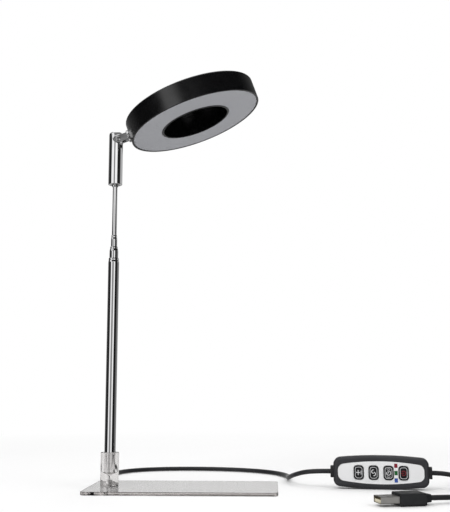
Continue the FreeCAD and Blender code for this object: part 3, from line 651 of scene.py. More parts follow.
def merged(*shapes: Shape) -> Shape:
    """Put several separate shapes in one.

    Args:
        shapes: The shapes, which are freed.

    Returns:
        The one shape.
    """
    whole = bmesh.new()
    parts = [as_object("part_of_whole", bm) for bm in shapes]
    for part in parts:
        whole.from_mesh(part.data)
    discard(parts)
    return whole


@dataclass
class Piece:
    """A piece of the object: its name, finish, the nodes that it stands for, its body and slot.

    Its edge is the width in millimetres of the bevel that breaks its sharp edges.
    """

    name: str
    finish: str
    nodes: tuple[str, ...] = ()
    body: Body = Body.FOOT
    slot: str = ""
    edge: float = 0.0
    sharp_deg: float = 32.0
    edge_deg: float = 40.0

    def keep(self, bm: Shape, place: Matrix | None = None) -> Object:
        """Turn a shape in millimetres into a finished object.

        Args:
            bm: The shape.
            place: Matrix in millimetres from the shape's own frame.

        Returns:
            The object.
        """
        bm.transform(Matrix.Scale(MM, 4) @ (place or Matrix()))
        obj = as_object(self.name, bm)
        obj.data.shade_smooth()
        obj.data.set_sharp_from_angle(angle=math.radians(self.sharp_deg))
        if self.edge:
            broken = obj.modifiers.new("broken edges", "BEVEL")
            broken.width, broken.segments, broken.limit_method = self.edge * MM, 2, "ANGLE"
            broken.angle_limit = math.radians(self.edge_deg)
        obj.modifiers.new("flat faces", "WEIGHTED_NORMAL").keep_sharp = True
        return self.dress(obj)

    def dress(self, obj: Object) -> Object:
        """Give an object its material and body.

        Args:
            obj: The object.

        Returns:
            The same object.
        """
        obj.data.materials.append(finish(self.finish))
        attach(obj, self.body.value)
        if self.nodes:
            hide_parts(*self.nodes)
        LOG.info("%s rides on %s", self.name, self.body.value)
        return obj


def recolour(look: str, *nodes: str) -> None:
    """Give kept CAD nodes their material."""
    for slot in [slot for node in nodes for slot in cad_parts[node].material_slots]:
        slot.material = finish(look)


# Sub-assemblies


@dataclass
class Foot:
    """Clear plate with the clear socket that holds the pole."""

    length: float = 140.0
    depth: float = 70.0
    thickness: float = 2.5
    corner: float = 4.0
    edge: float = 0.35
    socket_r: float = 6.8
    socket_top: float = 27.1
    bore_r: float = 4.25
    bore_foot: float = 12.6
    point_foot: float = 10.05
    screw_hole: Outline = ((0, -1), (2.95, -1), (2.95, 0.3), (1.55, 1.7), (1.55, 7.12), (0, 7.12))

    def build(self) -> None:
        """Make the plate and the socket in one clear piece, and dress the screw in it."""
        middle = self.thickness / 2
        plate = rounded_box(self.length / 2, self.depth / 2, (0, self.thickness), self.corner, self.edge,
                            self.edge)
        outline = ((0, middle), (self.socket_r, middle), (self.socket_r, self.socket_top),
                   (self.bore_r, self.socket_top), (self.bore_r, self.bore_foot), (0, self.point_foot))
        socket = turned(outline, rounds={2: 0.5, 3: 0.3}, small=0.0)
        hole = turned(self.screw_hole, small=0.0)
        for shape in (socket, hole):
            shape.transform(AT_POLE)
        whole = combine(Way.CUT, combine(Way.JOIN, plate, socket), hole)
        Piece("clear_foot", "clear_acrylic", ("base_plate", "pole_socket")).keep(whole)
        recolour("steel", "socket_screw")


@dataclass
class Tube:
    """One drawn tube of the pole, crimped at its mouth round the section in it."""

    name: str
    body: Body
    r: float
    wall: float
    inner_r: float
    foot: float
    top: float
    play: float = 0.05
    crimp: float = 3.0
    taper: float = 1.4

    def build(self, *drills: Shape) -> None:
        """Turn the tube and drill it.

        Args:
            drills: Shapes of the holes in it.
        """
        bore, mouth = self.r - self.wall, self.inner_r + self.play
        lip, crimp = mouth + self.wall, self.top - self.crimp
        outline = ((bore, self.foot), (self.r, self.foot), (self.r, crimp), (lip, crimp + self.taper),
                   (lip, self.top), (mouth, self.top), (mouth, crimp), (bore, crimp - (bore - mouth)))
        shape = turned(outline, rounds={2: 0.5, 3: 0.4}, small=0.08, closed=True)
        if drills:
            shape = combine(Way.CUT, shape, *drills)
        Piece("drawn_" + self.name, "chrome", (self.name,), self.body).keep(shape, AT_POLE)


@dataclass
class Pole:
    """Chrome pole: three tubes, the top rod, its ferrule, the nose in the socket and the cord's grommet.

    The outlines give radius and height; the grommet's height is its distance from the pole's axis.
    """

    outer_r: float = 4.2
    second_r: float = 3.4
    third_r: float = 2.4
    rod_r: float = 1.85
    rod: Outline = ((1.35, 95.7), (1.85, 95.7), (1.85, 241.4), (3.2, 241.4), (3.2, 243.4), (1.35, 243.4))
    ferrule: Outline = ((1.87, 230.7), (2.2, 230.7), (2.7, 231.8), (2.7, 232.3), (1.87, 232.3))
    nose: Outline = ((0, 10.65), (0.8, 10.65), (4.05, 12.6), (3.68, 12.6), (3.68, 18.6), (0, 18.6))
    grommet: Outline = ((1.77, 3.9), (2.4, 3.9), (2.4, 4.3), (3.3, 4.3), (3.3, 5.6), (2.6, 6.4), (1.77, 6.4))
    cord_height: float = 36.0
    cord_azimuth: float = math.radians(101.0)
    cord_hole_r: float = 2.5

    def cord_way(self) -> Vector:
        """Direction in which the cord leaves the pole."""
        return Vector((math.cos(self.cord_azimuth), math.sin(self.cord_azimuth), 0))

    def cord_exit(self) -> Vector:
        """Point where the cord comes out of the grommet."""
        return Vector((POLE_X, 0, self.cord_height)) + self.cord_way() * self.grommet[-1][1]

    def build(self) -> None:
        """Make every piece of the pole."""
        Tube("second_tube", Body.SECOND, self.second_r, wall=0.5, inner_r=self.third_r, foot=46.0,
             top=183.0).build()
        Tube("third_tube", Body.THIRD, self.third_r, wall=0.3, inner_r=self.rod_r, foot=56.0,
             top=192.0).build()
        aim = Matrix.Translation(UP * self.cord_height)
        aim = aim @ self.cord_way().to_track_quat("Z", "X").to_matrix().to_4x4()
        drill = round_bar(self.cord_hole_r, z0=0, z1=10)
        drill.transform(aim)
        Tube("outer_tube", Body.FOOT, self.outer_r, wall=0.5, inner_r=self.second_r, foot=12.6,
             top=174.0).build(drill)
        grommet = turned(self.grommet, rounds={4: 0.5, 5: 0.4}, small=0.1, closed=True, steps=48)
        Piece("cord_collar", "black_rubber", ("cord_grommet",)).keep(grommet, AT_POLE @ aim)
        rod = turned(self.rod, small=0.1, closed=True, steps=64)
        Piece("drawn_rod", "chrome", ("top_rod",), Body.TOP).keep(rod, AT_POLE)
        ferrule = turned(self.ferrule, closed=True)
        Piece("turned_ferrule", "chrome", ("rod_ferrule",), Body.TOP).keep(ferrule, AT_POLE)
        Piece("turned_nose", "chrome", ("pole_nose",)).keep(turned(self.nose), AT_POLE)
        recolour("nylon", "second_bush", "third_bush", "rod_bush")


@dataclass
class Hinge:
    """Slotted sleeve with its tenon, and the fork that swings on it about a riveted pin."""

    sleeve_r: float = 5.5
    sleeve_foot: float = 232.6
    sleeve_top: float = 275.1
    sleeve_dome: float = 2.3
    bore_r: float = 4.0
    bore_top: float = 246.1
    tenon: float = 1.9
    cheek_in: float = 2.2
    cheek_out: float = 4.0
    cheek_r: float = 3.6
    play: float = 0.3
    arm_half: float = 2.6
    bar_r: float = 4.7
    collar_r: float = 4.9
    collar_start: float = 7.5
    pin_to_wall: float = 9.2
    seat: float = 0.2
    stud_r: float = 2.0
    stud_end: float = 15.0
    pin_hole_r: float = 1.35
    pin_head: Outline = ((0, 0.45), (1.3, 0.42), (2.1, 0.15), (2.1, 0.0), (1.3, 0.0))
    lowest: float = math.radians(-20.0)
    reach: float = 22.0
    mill: float = 8.0

    def build(self) -> None:
        """Make the pieces of the hinge."""
        self.build_sleeve()
        self.build_fork()
        self.build_pin()
        recolour("steel", "sleeve_bush", "neck_nut")
        recolour("nylon", "friction_washers")

    def recess(self, side: int) -> Shape:
        """Draw the space beside the tenon in which a cheek swings, and raise it along Y.

        Args:
            side: 1 for the back, -1 for the front.

        Returns:
            The space.
        """
        r = self.cheek_r + self.play
        along = Vector((math.cos(self.lowest), 0, math.sin(self.lowest)))
        below = Vector((math.sin(self.lowest), 0, -math.cos(self.lowest)))
        bm = bmesh.new()
        start, left = arc(bm, below * r, math.pi / 2 + self.lowest, steps=24)
        above = bm.verts.new((left.co.x, 0, self.reach)), bm.verts.new((self.reach, 0, self.reach))
        chain(bm, [left, *above, bm.verts.new(below * r + along * self.reach), start])
        return raised(bm, PIN + BACK * (side * self.tenon), BACK * (side * self.mill))

    def build_sleeve(self) -> None:
        """Turn the sleeve and mill both sides of its tenon."""
        foot, top, r = self.sleeve_foot, self.sleeve_top, self.sleeve_r
        outline = ((0, self.bore_top), (self.bore_r, self.bore_top), (self.bore_r, foot), (r, foot), (r, top),
                   (0, top))
        sleeve = turned(outline, rounds={4: self.sleeve_dome, 3: 0.25}, small=0.1, steps=128)
        sleeve.transform(AT_POLE)
        bore = round_bar(self.pin_hole_r, -self.mill, self.mill)
        bore.transform(Matrix.Translation(PIN) @ Z_TO_FRONT)
        sleeve = combine(Way.CUT, sleeve, self.recess(1), self.recess(-1), bore)
        Piece("milled_sleeve", "chrome", ("hinge_sleeve",), Body.SLEEVE, edge=0.08).keep(sleeve)

    def build_fork(self) -> None:
        """Make the two cheeks, the bevelled collar and the stud as one piece, along its own X."""
        start, wall, r = self.collar_start, self.pin_to_wall + self.seat, self.collar_r
        outline = ((0, start), (r, start), (r, wall), (self.stud_r, wall), (self.stud_r, self.stud_end),
                   (0, self.stud_end))
        collar = turned(outline, rounds={1: 0.5}, small=0.1)
        collar.transform(Z_TO_X)
        cheeks = []
        for side in (1, -1):
            bar = round_bar(self.bar_r, z0=-6, z1=12, steps=96)
            bar.transform(Z_TO_X)
            cheeks.append(combine(Way.COMMON, self.cheek(side), bar))
        fork = combine(Way.JOIN, collar, *cheeks)
        piece = Piece("fork_with_collar", "bright", ("hinge_fork",), Body.HEAD, slot="chrome", edge=0.1)
        piece.keep(fork, ON_ARM)

    def cheek(self, side: int) -> Shape:
        """Draw a plate with a round eye about the pin and a narrower arm, and raise it along Y.

        Args:
            side: 1 for the back, -1 for the front.

        Returns:
            The plate.
        """
        low, high = sorted((side * self.cheek_in, side * self.cheek_out))
        rise = math.asin(self.arm_half / self.cheek_r)
        bm = bmesh.new()
        ends = arc(bm, (self.cheek_r * math.cos(rise), 0, self.arm_half), 2 * rise - math.tau, steps=48)
        far = [bm.verts.new((self.pin_to_wall, 0, v.co.z)) for v in ends]
        chain(bm, [ends[0], *far, ends[1]])
        return raised(bm, BACK * low, BACK * (high - low))

    def build_pin(self) -> None:
        """Turn the riveted pin with its low domed heads."""
        head = [(r, self.cheek_out + z) for r, z in self.pin_head]
        pin = turned((*((r, -z) for r, z in head), *reversed(head)), small=0.06, steps=48)
        place = Matrix.Translation(PIN) @ Z_TO_FRONT
        Piece("riveted_pin", "steel", ("hinge_pin",), Body.HEAD).keep(pin, place)


@dataclass
class RingHead:
    """Black ring housing with a cover over its hole and the opal ring in its lower face."""

    r: float = 53.0
    hole_r: float = 26.5
    height: float = 16.5
    arm: float = 62.2
    rim: float = 1.6
    wall: float = 2.2
    web: float = 2.0
    ledge: float = 1.8
    cover: float = 1.0
    step: float = 1.0
    cover_play: float = 0.02
    sheet_play: float = 0.1
    sheet_inset: float = 0.2
    steps: int = 160

    def build(self) -> None:
        """Make the housing, its cover and the diffuser, and dress what is inside."""
        place = ON_ARM @ Matrix.Translation((self.arm, 0, -self.height / 2))
        inner, outer, top, ledge = self.hole_r, self.r, self.height, self.ledge
        roof, under, edge = top - self.web, top - self.cover, inner + self.step
        outline = ((outer, 0), (outer, top), (edge, top), (edge, under), (inner, under), (inner, 0),
                   (inner + self.rim, 0), (inner + self.rim, ledge), (inner + self.wall, ledge),
                   (inner + self.wall, roof), (outer - self.wall, roof), (outer - self.wall, ledge),
                   (outer - self.rim, ledge), (outer - self.rim, 0))
        shell = turned(outline, rounds={1: 1.3}, small=0.2, closed=True, steps=self.steps)
        Piece("ring_shell", "black_shell", ("ring_housing",), Body.HEAD).keep(shell, place)
        edge -= self.cover_play
        outline = ((0, under), (edge, under), (edge, top), (0, top))
        disc = turned(outline, rounds={2: 0.25}, small=0.05, steps=self.steps)
        Piece("top_cover", "black_shell", ("ring_cover",), Body.HEAD).keep(disc, place)
        near, far = inner + self.rim + self.sheet_play, outer - self.rim - self.sheet_play
        outline = ((near, self.sheet_inset), (far, self.sheet_inset), (far, ledge), (near, ledge))
        sheet = turned(outline, small=0.15, closed=True, steps=self.steps)
        Piece("opal_ring", "diffuser", ("diffuser_ring",), Body.HEAD).keep(sheet, place)
        recolour("white_board", "led_board")
        recolour("led", "led_chips")
        recolour("steel", "board_screws")


@dataclass
class Marks:
    """Thin raised strokes on a button's face, drawn with the lamp's end to the left."""

    top: float
    sunk: float = -0.02
    rise: float = 0.05
    half: Pair = (2.65, 4.05)
    corner: float = 1.75
    border_width: float = 0.28
    end_round: float = 0.42

    def line(self, start: Pair, end: Pair, width: float) -> Shape:
        """Draw a straight stroke.

        Args:
            start: Where its middle line starts.
            end: Where its middle line ends.
            width: Width of the stroke.

        Returns:
            The stroke.
        """
        run = Vector(end) - Vector(start)
        bm = rounded_box((run.length + width) / 2, width / 2, (self.sunk, self.rise),
                         corner=width * self.end_round, steps=3, at=(run.length / 2, 0))
        turn = Matrix.Rotation(math.atan2(run.y, run.x), 4, "Z")
        bm.transform(Matrix.Translation((*start, self.top)) @ turn)
        return bm

    def arc(self, centre: Pair, radius: float, start: float, end: float, width: float) -> Shape:
        """Draw a curved stroke.

        Args:
            centre: Middle of its circle.
            radius: Radius of its middle line.
            start: Angle in degrees at which it starts.
            end: Angle in degrees at which it ends.
            width: Width of the stroke.

        Returns:
            The stroke.
        """
        bm = bmesh.new()
        turn = Matrix.Rotation(math.radians(start), 3, "Z")
        low, high = radius - width / 2, radius + width / 2
        section = ((low, self.sunk), (high, self.sunk), (high, self.rise), (low, self.rise))
        face = bm.faces.new([bm.verts.new(turn @ Vector((r, 0, z))) for r, z in section])
        bmesh.ops.spin(bm, geom=[face, *face.edges, *face.verts], cent=CENTRE, axis=UP,
                       angle=math.radians(end - start), steps=28)
        bmesh.ops.remove_doubles(bm, verts=bm.verts[:], dist=SAME)
        bmesh.ops.holes_fill(bm, edges=[e for e in bm.edges if e.is_boundary])
        bmesh.ops.recalc_face_normals(bm, faces=bm.faces[:])
        bm.transform(Matrix.Translation((*centre, self.top)))
        return bm

    def border(self) -> Shape:
        """Draw the rounded line round the face.

        Returns:
            The line.
        """
        (half_x, half_y), less = self.half, self.border_width
        outer = rounded_box(half_x, half_y, (self.sunk, self.rise), self.corner)
        inner = rounded_box(half_x - less, half_y - less, (-PAST, PAST), self.corner - less)
        line = combine(Way.CUT, outer, inner)
        line.transform(Matrix.Translation(UP * self.top))
        return line

    def symbol(self, button: Body) -> list[Shape]:
        """Draw a button's symbol: a plus with a bar, two arcs, a clock or a power sign.

        Args:
            button: The button.

        Returns:
            Its strokes.
        """
        if button is Body.BRIGHTNESS:
            bars = self.line((-0.4, -1.6), (-0.4, 1.6), 0.5), self.line((-1.7, 0), (0.9, 0), 0.5)
            return [combine(Way.JOIN, *bars), self.line((1.75, -1.3), (1.75, 1.3), 0.38)]
        if button is Body.MODE:
            return [self.arc((0.15, -0.85), 1.25, -100, 95, 0.5), self.arc((-0.15, 0.85), 1.25, 80, 275, 0.5)]
        if button is Body.TIMER:
            hands = combine(Way.JOIN, self.line((0, 0), (-1.0, 0), 0.34), self.line((0, 0), (0, 0.8), 0.34))
            bows = self.arc((0, 0.4), 2.6, 60, 120, 0.3), self.arc((0, -0.4), 2.6, 240, 300, 0.3)
            return [self.arc((0, 0), 1.55, -200, 120, 0.42), hands, *bows]
        return [self.arc((0, 0), 1.6, -145, 145, 0.42), self.line((-1.9, 0), (0.1, 0), 0.42)]


@dataclass
class Controller:
    """In-line controller that stands on its long edge with its face to the viewer."""

    x: float = 147.0
    y: float = 12.0
    yaw: float = math.radians(-8.0)
    length: float = 70.0
    width: float = 24.4
    end_width: float = 20.3
    thickness: float = 11.0
    corner: float = 4.5
    round: float = 2.6
    land: float = 0.12
    seam: float = 0.03
    wall: float = 1.5
    front_wall: float = 2.0
    cord_hole_r: float = 2.72
    faceplate: tuple[float, ...] = (63.0, 16.5, 11.0, 4.2)
    faceplate_depth: float = 0.8
    first_x: float = -16.1
    pitch: float = 10.9
    opening: Pair = (3.8, 5.3)
    opening_corner: float = 2.5
    window: Pair = (1.22, 1.52)
    window_x: float = 11.1
    window_pitch: float = 5.3
    inside: float = 2.0
    stand: float = 0.7
    cap: Pair = (3.5, 5.0)
    cap_foot: float = 2.5
    tabs: Pair = (1.3, 6.0)
    tabs_z: Pair = (2.65, 3.45)
    collar: Pair = (4.35, 3.3)
    collar_out: float = 2.3
    flange: Pair = (3.3, 2.8)
    flange_z: Pair = (-2.9, -1.5)
    neck_r: float = 2.7

    def place(self) -> Matrix:
        """Matrix from the controller's own frame, Z out of its face, to the object's."""
        at = Matrix.Translation((self.x, self.y, self.width / 2 - self.land))
        return at @ Matrix.Rotation(self.yaw, 4, "Z") @ Z_TO_FRONT

    def on_axis(self, along: float) -> Vector:
        """Point on the line of the cord through the controller."""
        return self.place() @ Vector((along, 0, 0))

    def button_x(self, index: int) -> float:
        """Place of a button along the controller."""
        return self.first_x + index * self.pitch

    def build(self) -> list[Object]:
        """Make the controller's pieces.

        Returns:
            The pieces that are on the cord from the lamp, then the one on the cord to the plug.
        """
        self.build_shell(1)
        self.build_shell(-1)
        for index, button in enumerate(BUTTONS):
            self.build_button(index, button)
        inside = {"controller_faceplate": "silver_face", "controller_board": "green_board",
                  "tact_switches": "button_black", "blue_indicator": "blue_window",
                  "green_indicator": "green_window", "red_indicator": "red_window"}
        for node, look in inside.items():
            recolour(look, node)
        return [*(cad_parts[node] for node in inside), self.build_relief(-1), self.build_relief(1)]

    def build_shell(self, side: int) -> None:
        """Make a shell, hollow and open to the other one.

        Args:
            side: 1 for the front shell, -1 for the back one.
        """
        half, past = self.thickness / 2, self.thickness / 2 + PAST
        body = barrel(self.length, self.width, self.end_width, self.corner, (-half, half))
        soften(body, rim(body, half) + rim(body, -half), self.round, segments=6)
        z = (self.seam, past) if side > 0 else (-past, -self.seam)
        body = combine(Way.COMMON, body, rounded_box(self.length, self.width / 2 - self.land, z))
        less = 2 * self.wall
        tools = [barrel(self.length - less, self.width - less, self.end_width - less, self.corner - self.wall,
                        (self.wall - half, half - self.front_wall))]
        for end in (-1, 1):
            way = round_bar(self.cord_hole_r, z0=-1.5, z1=1.5, steps=32)
            way.transform(Matrix.Translation((end * (self.length / 2 - 0.5), 0, 0)) @ Z_TO_X)
            tools.append(way)
        if side > 0:
            tools.append(barrel(*self.faceplate, (half - self.faceplate_depth, past)))
            for index in range(len(BUTTONS)):
                tools.append(rounded_box(*self.opening, (self.inside, past), self.opening_corner,
                                         at=(self.button_x(index), 0)))
            for step in (-1, 0, 1):
                tools.append(rounded_box(*self.window, (self.inside, past),
                                         at=(self.window_x, step * self.window_pitch)))
        name = "front" if side > 0 else "back"
        body = combine(Way.CUT, body, *tools)
        Piece(name + "_shell", "grey_shell", ("controller_" + name,)).keep(body, self.place())

    def build_button(self, index: int, button: Body) -> None:
        """Make a button's cap and the marks on it.

        Args:
            index: Place of the button in the row.
            button: Its body.
        """
        top = self.thickness / 2 + self.stand
        place = self.place() @ Matrix.Translation((self.button_x(index), 0, 0))
        stem = button.value.replace("_button", "")
        cap = rounded_box(*self.cap, (self.cap_foot, top), corner=2.2, top_round=0.3)
        cap = combine(Way.JOIN, cap, rounded_box(*self.tabs, self.tabs_z))
        Piece(stem + "_cap", "button_black", (button.value,), button).keep(cap, place)
        marks = Marks(top)
        border, strokes = marks.border(), marks.symbol(button)
        if button is Body.POWER:
            Piece(stem + "_border", "symbol_silver", (), button, "silver_face").keep(border, place)
            Piece(stem + "_mark", "symbol_red", (), button, "red_window").keep(merged(*strokes), place)
        else:
            all_marks = merged(border, *strokes)
            Piece(stem + "_marks", "symbol_silver", (), button, "silver_face").keep(all_marks, place)

    def build_relief(self, side: int) -> Object:
        """Make the rubber strain relief at one end: collar outside, flange inside and a neck between.

        Args:
            side: 1 for the plug's end, -1 for the lamp's.

        Returns:
            The piece.
        """
        collar = rounded_box(*self.collar, (0.0, self.collar_out), corner=1.4, top_round=0.3, foot_round=0.1)
        flange = rounded_box(*self.flange, self.flange_z, corner=0.6)
        shape = merged(collar, flange, round_bar(self.neck_r, z0=-1.6, z1=0.1))
        turn = Matrix.Rotation(side * math.pi / 2, 4, "Y") @ Matrix.Rotation(math.pi / 2, 4, "Z")
        place = self.place() @ Matrix.Translation((side * self.length / 2, 0, 0)) @ turn
        end = "plug_side" if side > 0 else "lamp_side"
        return Piece(end + "_collar", "black_rubber", (end + "_relief",)).keep(shape, place)


@dataclass
class Plug:
    """Flat plug that lies on the surface, metal tip to the left."""

    x: float = 168.0
    y: float = -66.0
    yaw: float = math.radians(195.0)
    relief: float = 5.3
    grip_length: float = 18.0
    grip_width: float = 15.3
    grip_height: float = 8.0
    shell_depth: float = 4.0
    shell_length: float = 13.0
    shell_width: float = 12.0
    shell_height: float = 4.5
    shell_play: float = 0.02
    sheet: float = 0.3
    seam: float = 0.12
    latch: float = 1.25
    latch_y: float = 3.3
    latch_to_tip: float = 6.3
    cut_half: float = 2.0
    cut_middle: float = 3.0
    neck: Pair = (3.0, 3.6)
    taper: float = 0.84
    overlap: float = 0.5

    def place(self) -> Matrix:
        """Matrix from the plug's own frame, X to its tip, to the object's."""
        return Matrix.Translation((self.x, self.y, self.grip_height / 2)) @ Matrix.Rotation(self.yaw, 4, "Z")

    def on_axis(self, along: float) -> Vector:
        """Point on the line of the cord into the plug."""
        return self.place() @ Vector((along, 0, 0))

    def build(self) -> list[Object]:
        """Make the plug's pieces.

        Returns:
            The pieces that are on the cord.
        """
        recolour("ivory_insert", "plug_tongue")
        recolour("brass", "plug_contacts")
        return [self.build_grip(), self.build_shell(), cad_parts["plug_tongue"],
                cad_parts["plug_contacts"]]

    def build_grip(self) -> Object:
        """Make the moulded grip with its tapered strain relief, raised from the cord to the tip.

        Returns:
            The piece.
        """
        front = self.relief + self.grip_length
        grip = rounded_box(self.grip_height / 2, self.grip_width / 2, (self.relief, front), corner=1.3,
                           top_round=0.4, foot_round=0.5)
        neck = rounded_box(*self.neck, (0, self.relief + self.overlap))
        end = [v for v in neck.verts if v.co.z < self.overlap]
        bmesh.ops.scale(neck, vec=(self.taper, self.taper, 1), verts=end)
        soften(neck, upright(neck), radius=1.1, segments=4)
        soften(neck, rim(neck, 0), radius=0.3, segments=2)
        depth = (front - self.shell_depth, front + PAST)
        pocket = rounded_box(self.shell_height / 2, self.shell_width / 2, depth, corner=0.5)
        grip = combine(Way.CUT, combine(Way.JOIN, grip, neck), pocket)
        piece = Piece("plug_grip", "grip", ("plug_body",), slot="black_shell")
        return piece.keep(grip, self.place() @ Z_TO_X)

    def build_shell(self) -> Object:
        """Make the folded metal shell with its two latch windows and its seam underneath.

        Returns:
            The piece.
        """
        front = self.relief + self.grip_length
        back, tip = front - self.shell_depth, front + self.shell_length
        height, width = self.shell_height / 2 - self.shell_play, self.shell_width / 2 - self.shell_play
        through, middle = (back - PAST, tip + PAST), tip - self.latch_to_tip
        window, side = (middle - self.latch, middle + self.latch), self.cut_middle
        tools = [rounded_box(height - self.sheet, width - self.sheet, through, corner=0.25, steps=3),
                 rounded_box(self.cut_half, self.latch, window, at=(-side, -self.latch_y)),
                 rounded_box(self.cut_half, self.latch, window, at=(-side, self.latch_y)),
                 rounded_box(self.cut_half, self.seam / 2, through, at=(side, 0))]
        shell = combine(Way.CUT, rounded_box(height, width, (back, tip), corner=0.5, steps=4), *tools)
        piece = Piece("plug_metal", "shell_steel", ("plug_shell",), slot="steel")
        return piece.keep(shell, self.place() @ Z_TO_X)


# Cords


def cord_curve(name: str, points: list[Vector], nodes: tuple[str, ...]) -> Object:
    """Make a cord along a route.

    Args:
        name: Name of the piece.
        points: Route in millimetres.
        nodes: CAD nodes that it stands for.

    Returns:
        The cord's curve object.
    """
    data = bpy.data.curves.new(name, "CURVE")
    data.dimensions = "3D"
    spline = data.splines.new("NURBS")
    spline.points.add(len(points) - 1)
    for target, point in zip(spline.points, points):
        target.co = (*(point * MM), 1.0)
    spline.order_u = 3
    spline.use_endpoint_u = True
    spline.resolution_u = 8
    data.bevel_depth = CORD_R * MM
    data.bevel_resolution = 5
    data.use_fill_caps = True
    obj = bpy.data.objects.new(name, data)
    bpy.context.collection.objects.link(obj)
    return Piece(name, "black_rubber", nodes).dress(obj)


@dataclass
class CordSet:
    """Cord from the pole to the controller, and the long cord with its coil to the plug."""

    controller: Controller
    plug: Plug
    pole: Pole
    coil_x: float = 238.0
    coil_y: float = 27.0
    coil_r: float = 24.0
    layers: int = 4
    spacing: float = 3.95
    tie: float = 0.8
    tie_gap: float = 0.35
    tie_half: float = 3.0
    lift: float = 0.05
    per_half_turn: int = 6

    def coil_turns(self) -> list[Pair]:
        """Plan the coil's half turns, from the outside in and out again, layer by layer.

        Returns:
            Radius and climb of each half turn.
        """
        radius, turns = self.coil_r, []
        for layer in range(self.layers):
            change = self.spacing / 2 * (1 if layer % 2 else -1)
            for _ in range(3 if layer else 4):
                turns.append((radius, 0.0))
                radius += change
            if layer < self.layers - 1:
                turns.append((radius, self.spacing))
                radius -= change
        return turns

    def coil_points(self) -> tuple[list[Vector], Vector, Vector]:
        """Lay the points of the coil's turns.

        Returns:
            The points, the place where the cord leaves the coil and its heading there.
        """
        place = Vector((self.coil_x, self.coil_y - self.coil_r, CORD_R + self.tie + self.tie_gap))
        heading, step, points = Vector((1, 0, 0)), math.pi / self.per_half_turn, []
        turns = self.coil_turns()
        for index, (radius, climb) in enumerate(turns):
            last = index == len(turns) - 1
            left = Vector((-heading.y, heading.x, 0))
            centre, reach = place + left * radius, radius / math.cos(step / 2)
            for k in range(self.per_half_turn // 2 if last else self.per_half_turn):
                angle = (k + 0.5) * step
                out = heading * (reach * math.sin(angle)) - left * (reach * math.cos(angle))
                points.append(centre + out + UP * (climb * (1 - math.cos(angle)) / 2))
            if last:
                place, heading = centre + heading * radius, left
            else:
                place, heading = place + left * (2 * radius) + UP * climb, -heading
        return points, place, heading

    def build(self, on_controller: list[Object], on_plug: list[Object]) -> None:
        """Args:
            on_controller: Pieces on the lamp's cord, then the one at the start of the plug's; not used.
            on_plug: The plug's pieces; not used.
        """
        floor = CORD_R + self.lift
        end = self.controller.length / 2 + self.controller.collar_out
        start, way = self.pole.cord_exit(), self.pole.cord_way()
        first = [start, start + way * 14, Vector((-62.2, 35.5, 28)), Vector((-64.5, 47.5, 12)),
                 Vector((-68, 66, floor)), Vector((-71, 91, floor)), Vector((-60, 117, floor)),
                 Vector((-34, 132, floor)), Vector((2, 135, floor)), Vector((38, 127, floor)),
                 Vector((66, 108, floor)), Vector((80, 80, floor)), Vector((78, 54, 2.6)),
                 Vector((82, 33, 7.5)), self.controller.on_axis(-end - 16), self.controller.on_axis(-end)]
        lamp_cord = cord_curve("lamp_cord", first, ("cord_to_controller",))
        turns, leave, heading = self.coil_points()
        straight = 2 * CORD_R
        begin = Vector((self.coil_x - straight, self.coil_y - self.coil_r, turns[0].z))
        last = leave + heading * straight
        second = [self.controller.on_axis(end), self.controller.on_axis(end + 13), Vector((209, 3.3, 6.2)),
                  begin - Vector((12, 0, 0)), begin, *turns, last, last + heading * 10,
                  Vector((215, -8, 11.0)), Vector((212, -25, 5.2)), Vector((203, -42, floor)),
                  Vector((190, -55, 2.8)), self.plug.on_axis(-12), self.plug.on_axis(0)]
        plug_cord = cord_curve("plug_cord", second, ("cord_to_coil", "cord_coil", "cord_to_plug"))
        tie = self.build_tie()
        tuple(self.controller.on_axis(end) * MM)

    def build_tie(self) -> Object:
        """Make the flat band round the bundle of turns.

        Returns:
            The piece.
        """
        half_x = self.spacing + CORD_R + self.tie_gap
        half_y = (self.layers - 1) / 2 * self.spacing + CORD_R + self.tie_gap
        at = (self.coil_x + self.coil_r - self.spacing, self.tie + half_y)
        end, past = self.tie_half, self.tie_half + PAST
        outer = rounded_box(half_x + self.tie, half_y + self.tie, (-end, end), corner=2.2, top_round=0.2,
                            foot_round=0.2, at=at)
        band = combine(Way.CUT, outer, rounded_box(half_x, half_y, (-past, past), corner=1.5, at=at))
        place = Matrix.Translation((0, self.coil_y, 0)) @ Z_TO_FRONT
        return Piece("coil_band", "black_rubber", ("cord_tie",)).keep(band, place)


# Studio


@dataclass(frozen=True)
class Zone:
    """Belt of the surround, with the heights at which it starts and is full, and its shades by bearing.

    A belt that goes both ways lies as far below the horizon too.
    """

    start: float
    full: float
    shades: Outline
    both_ways: bool = False


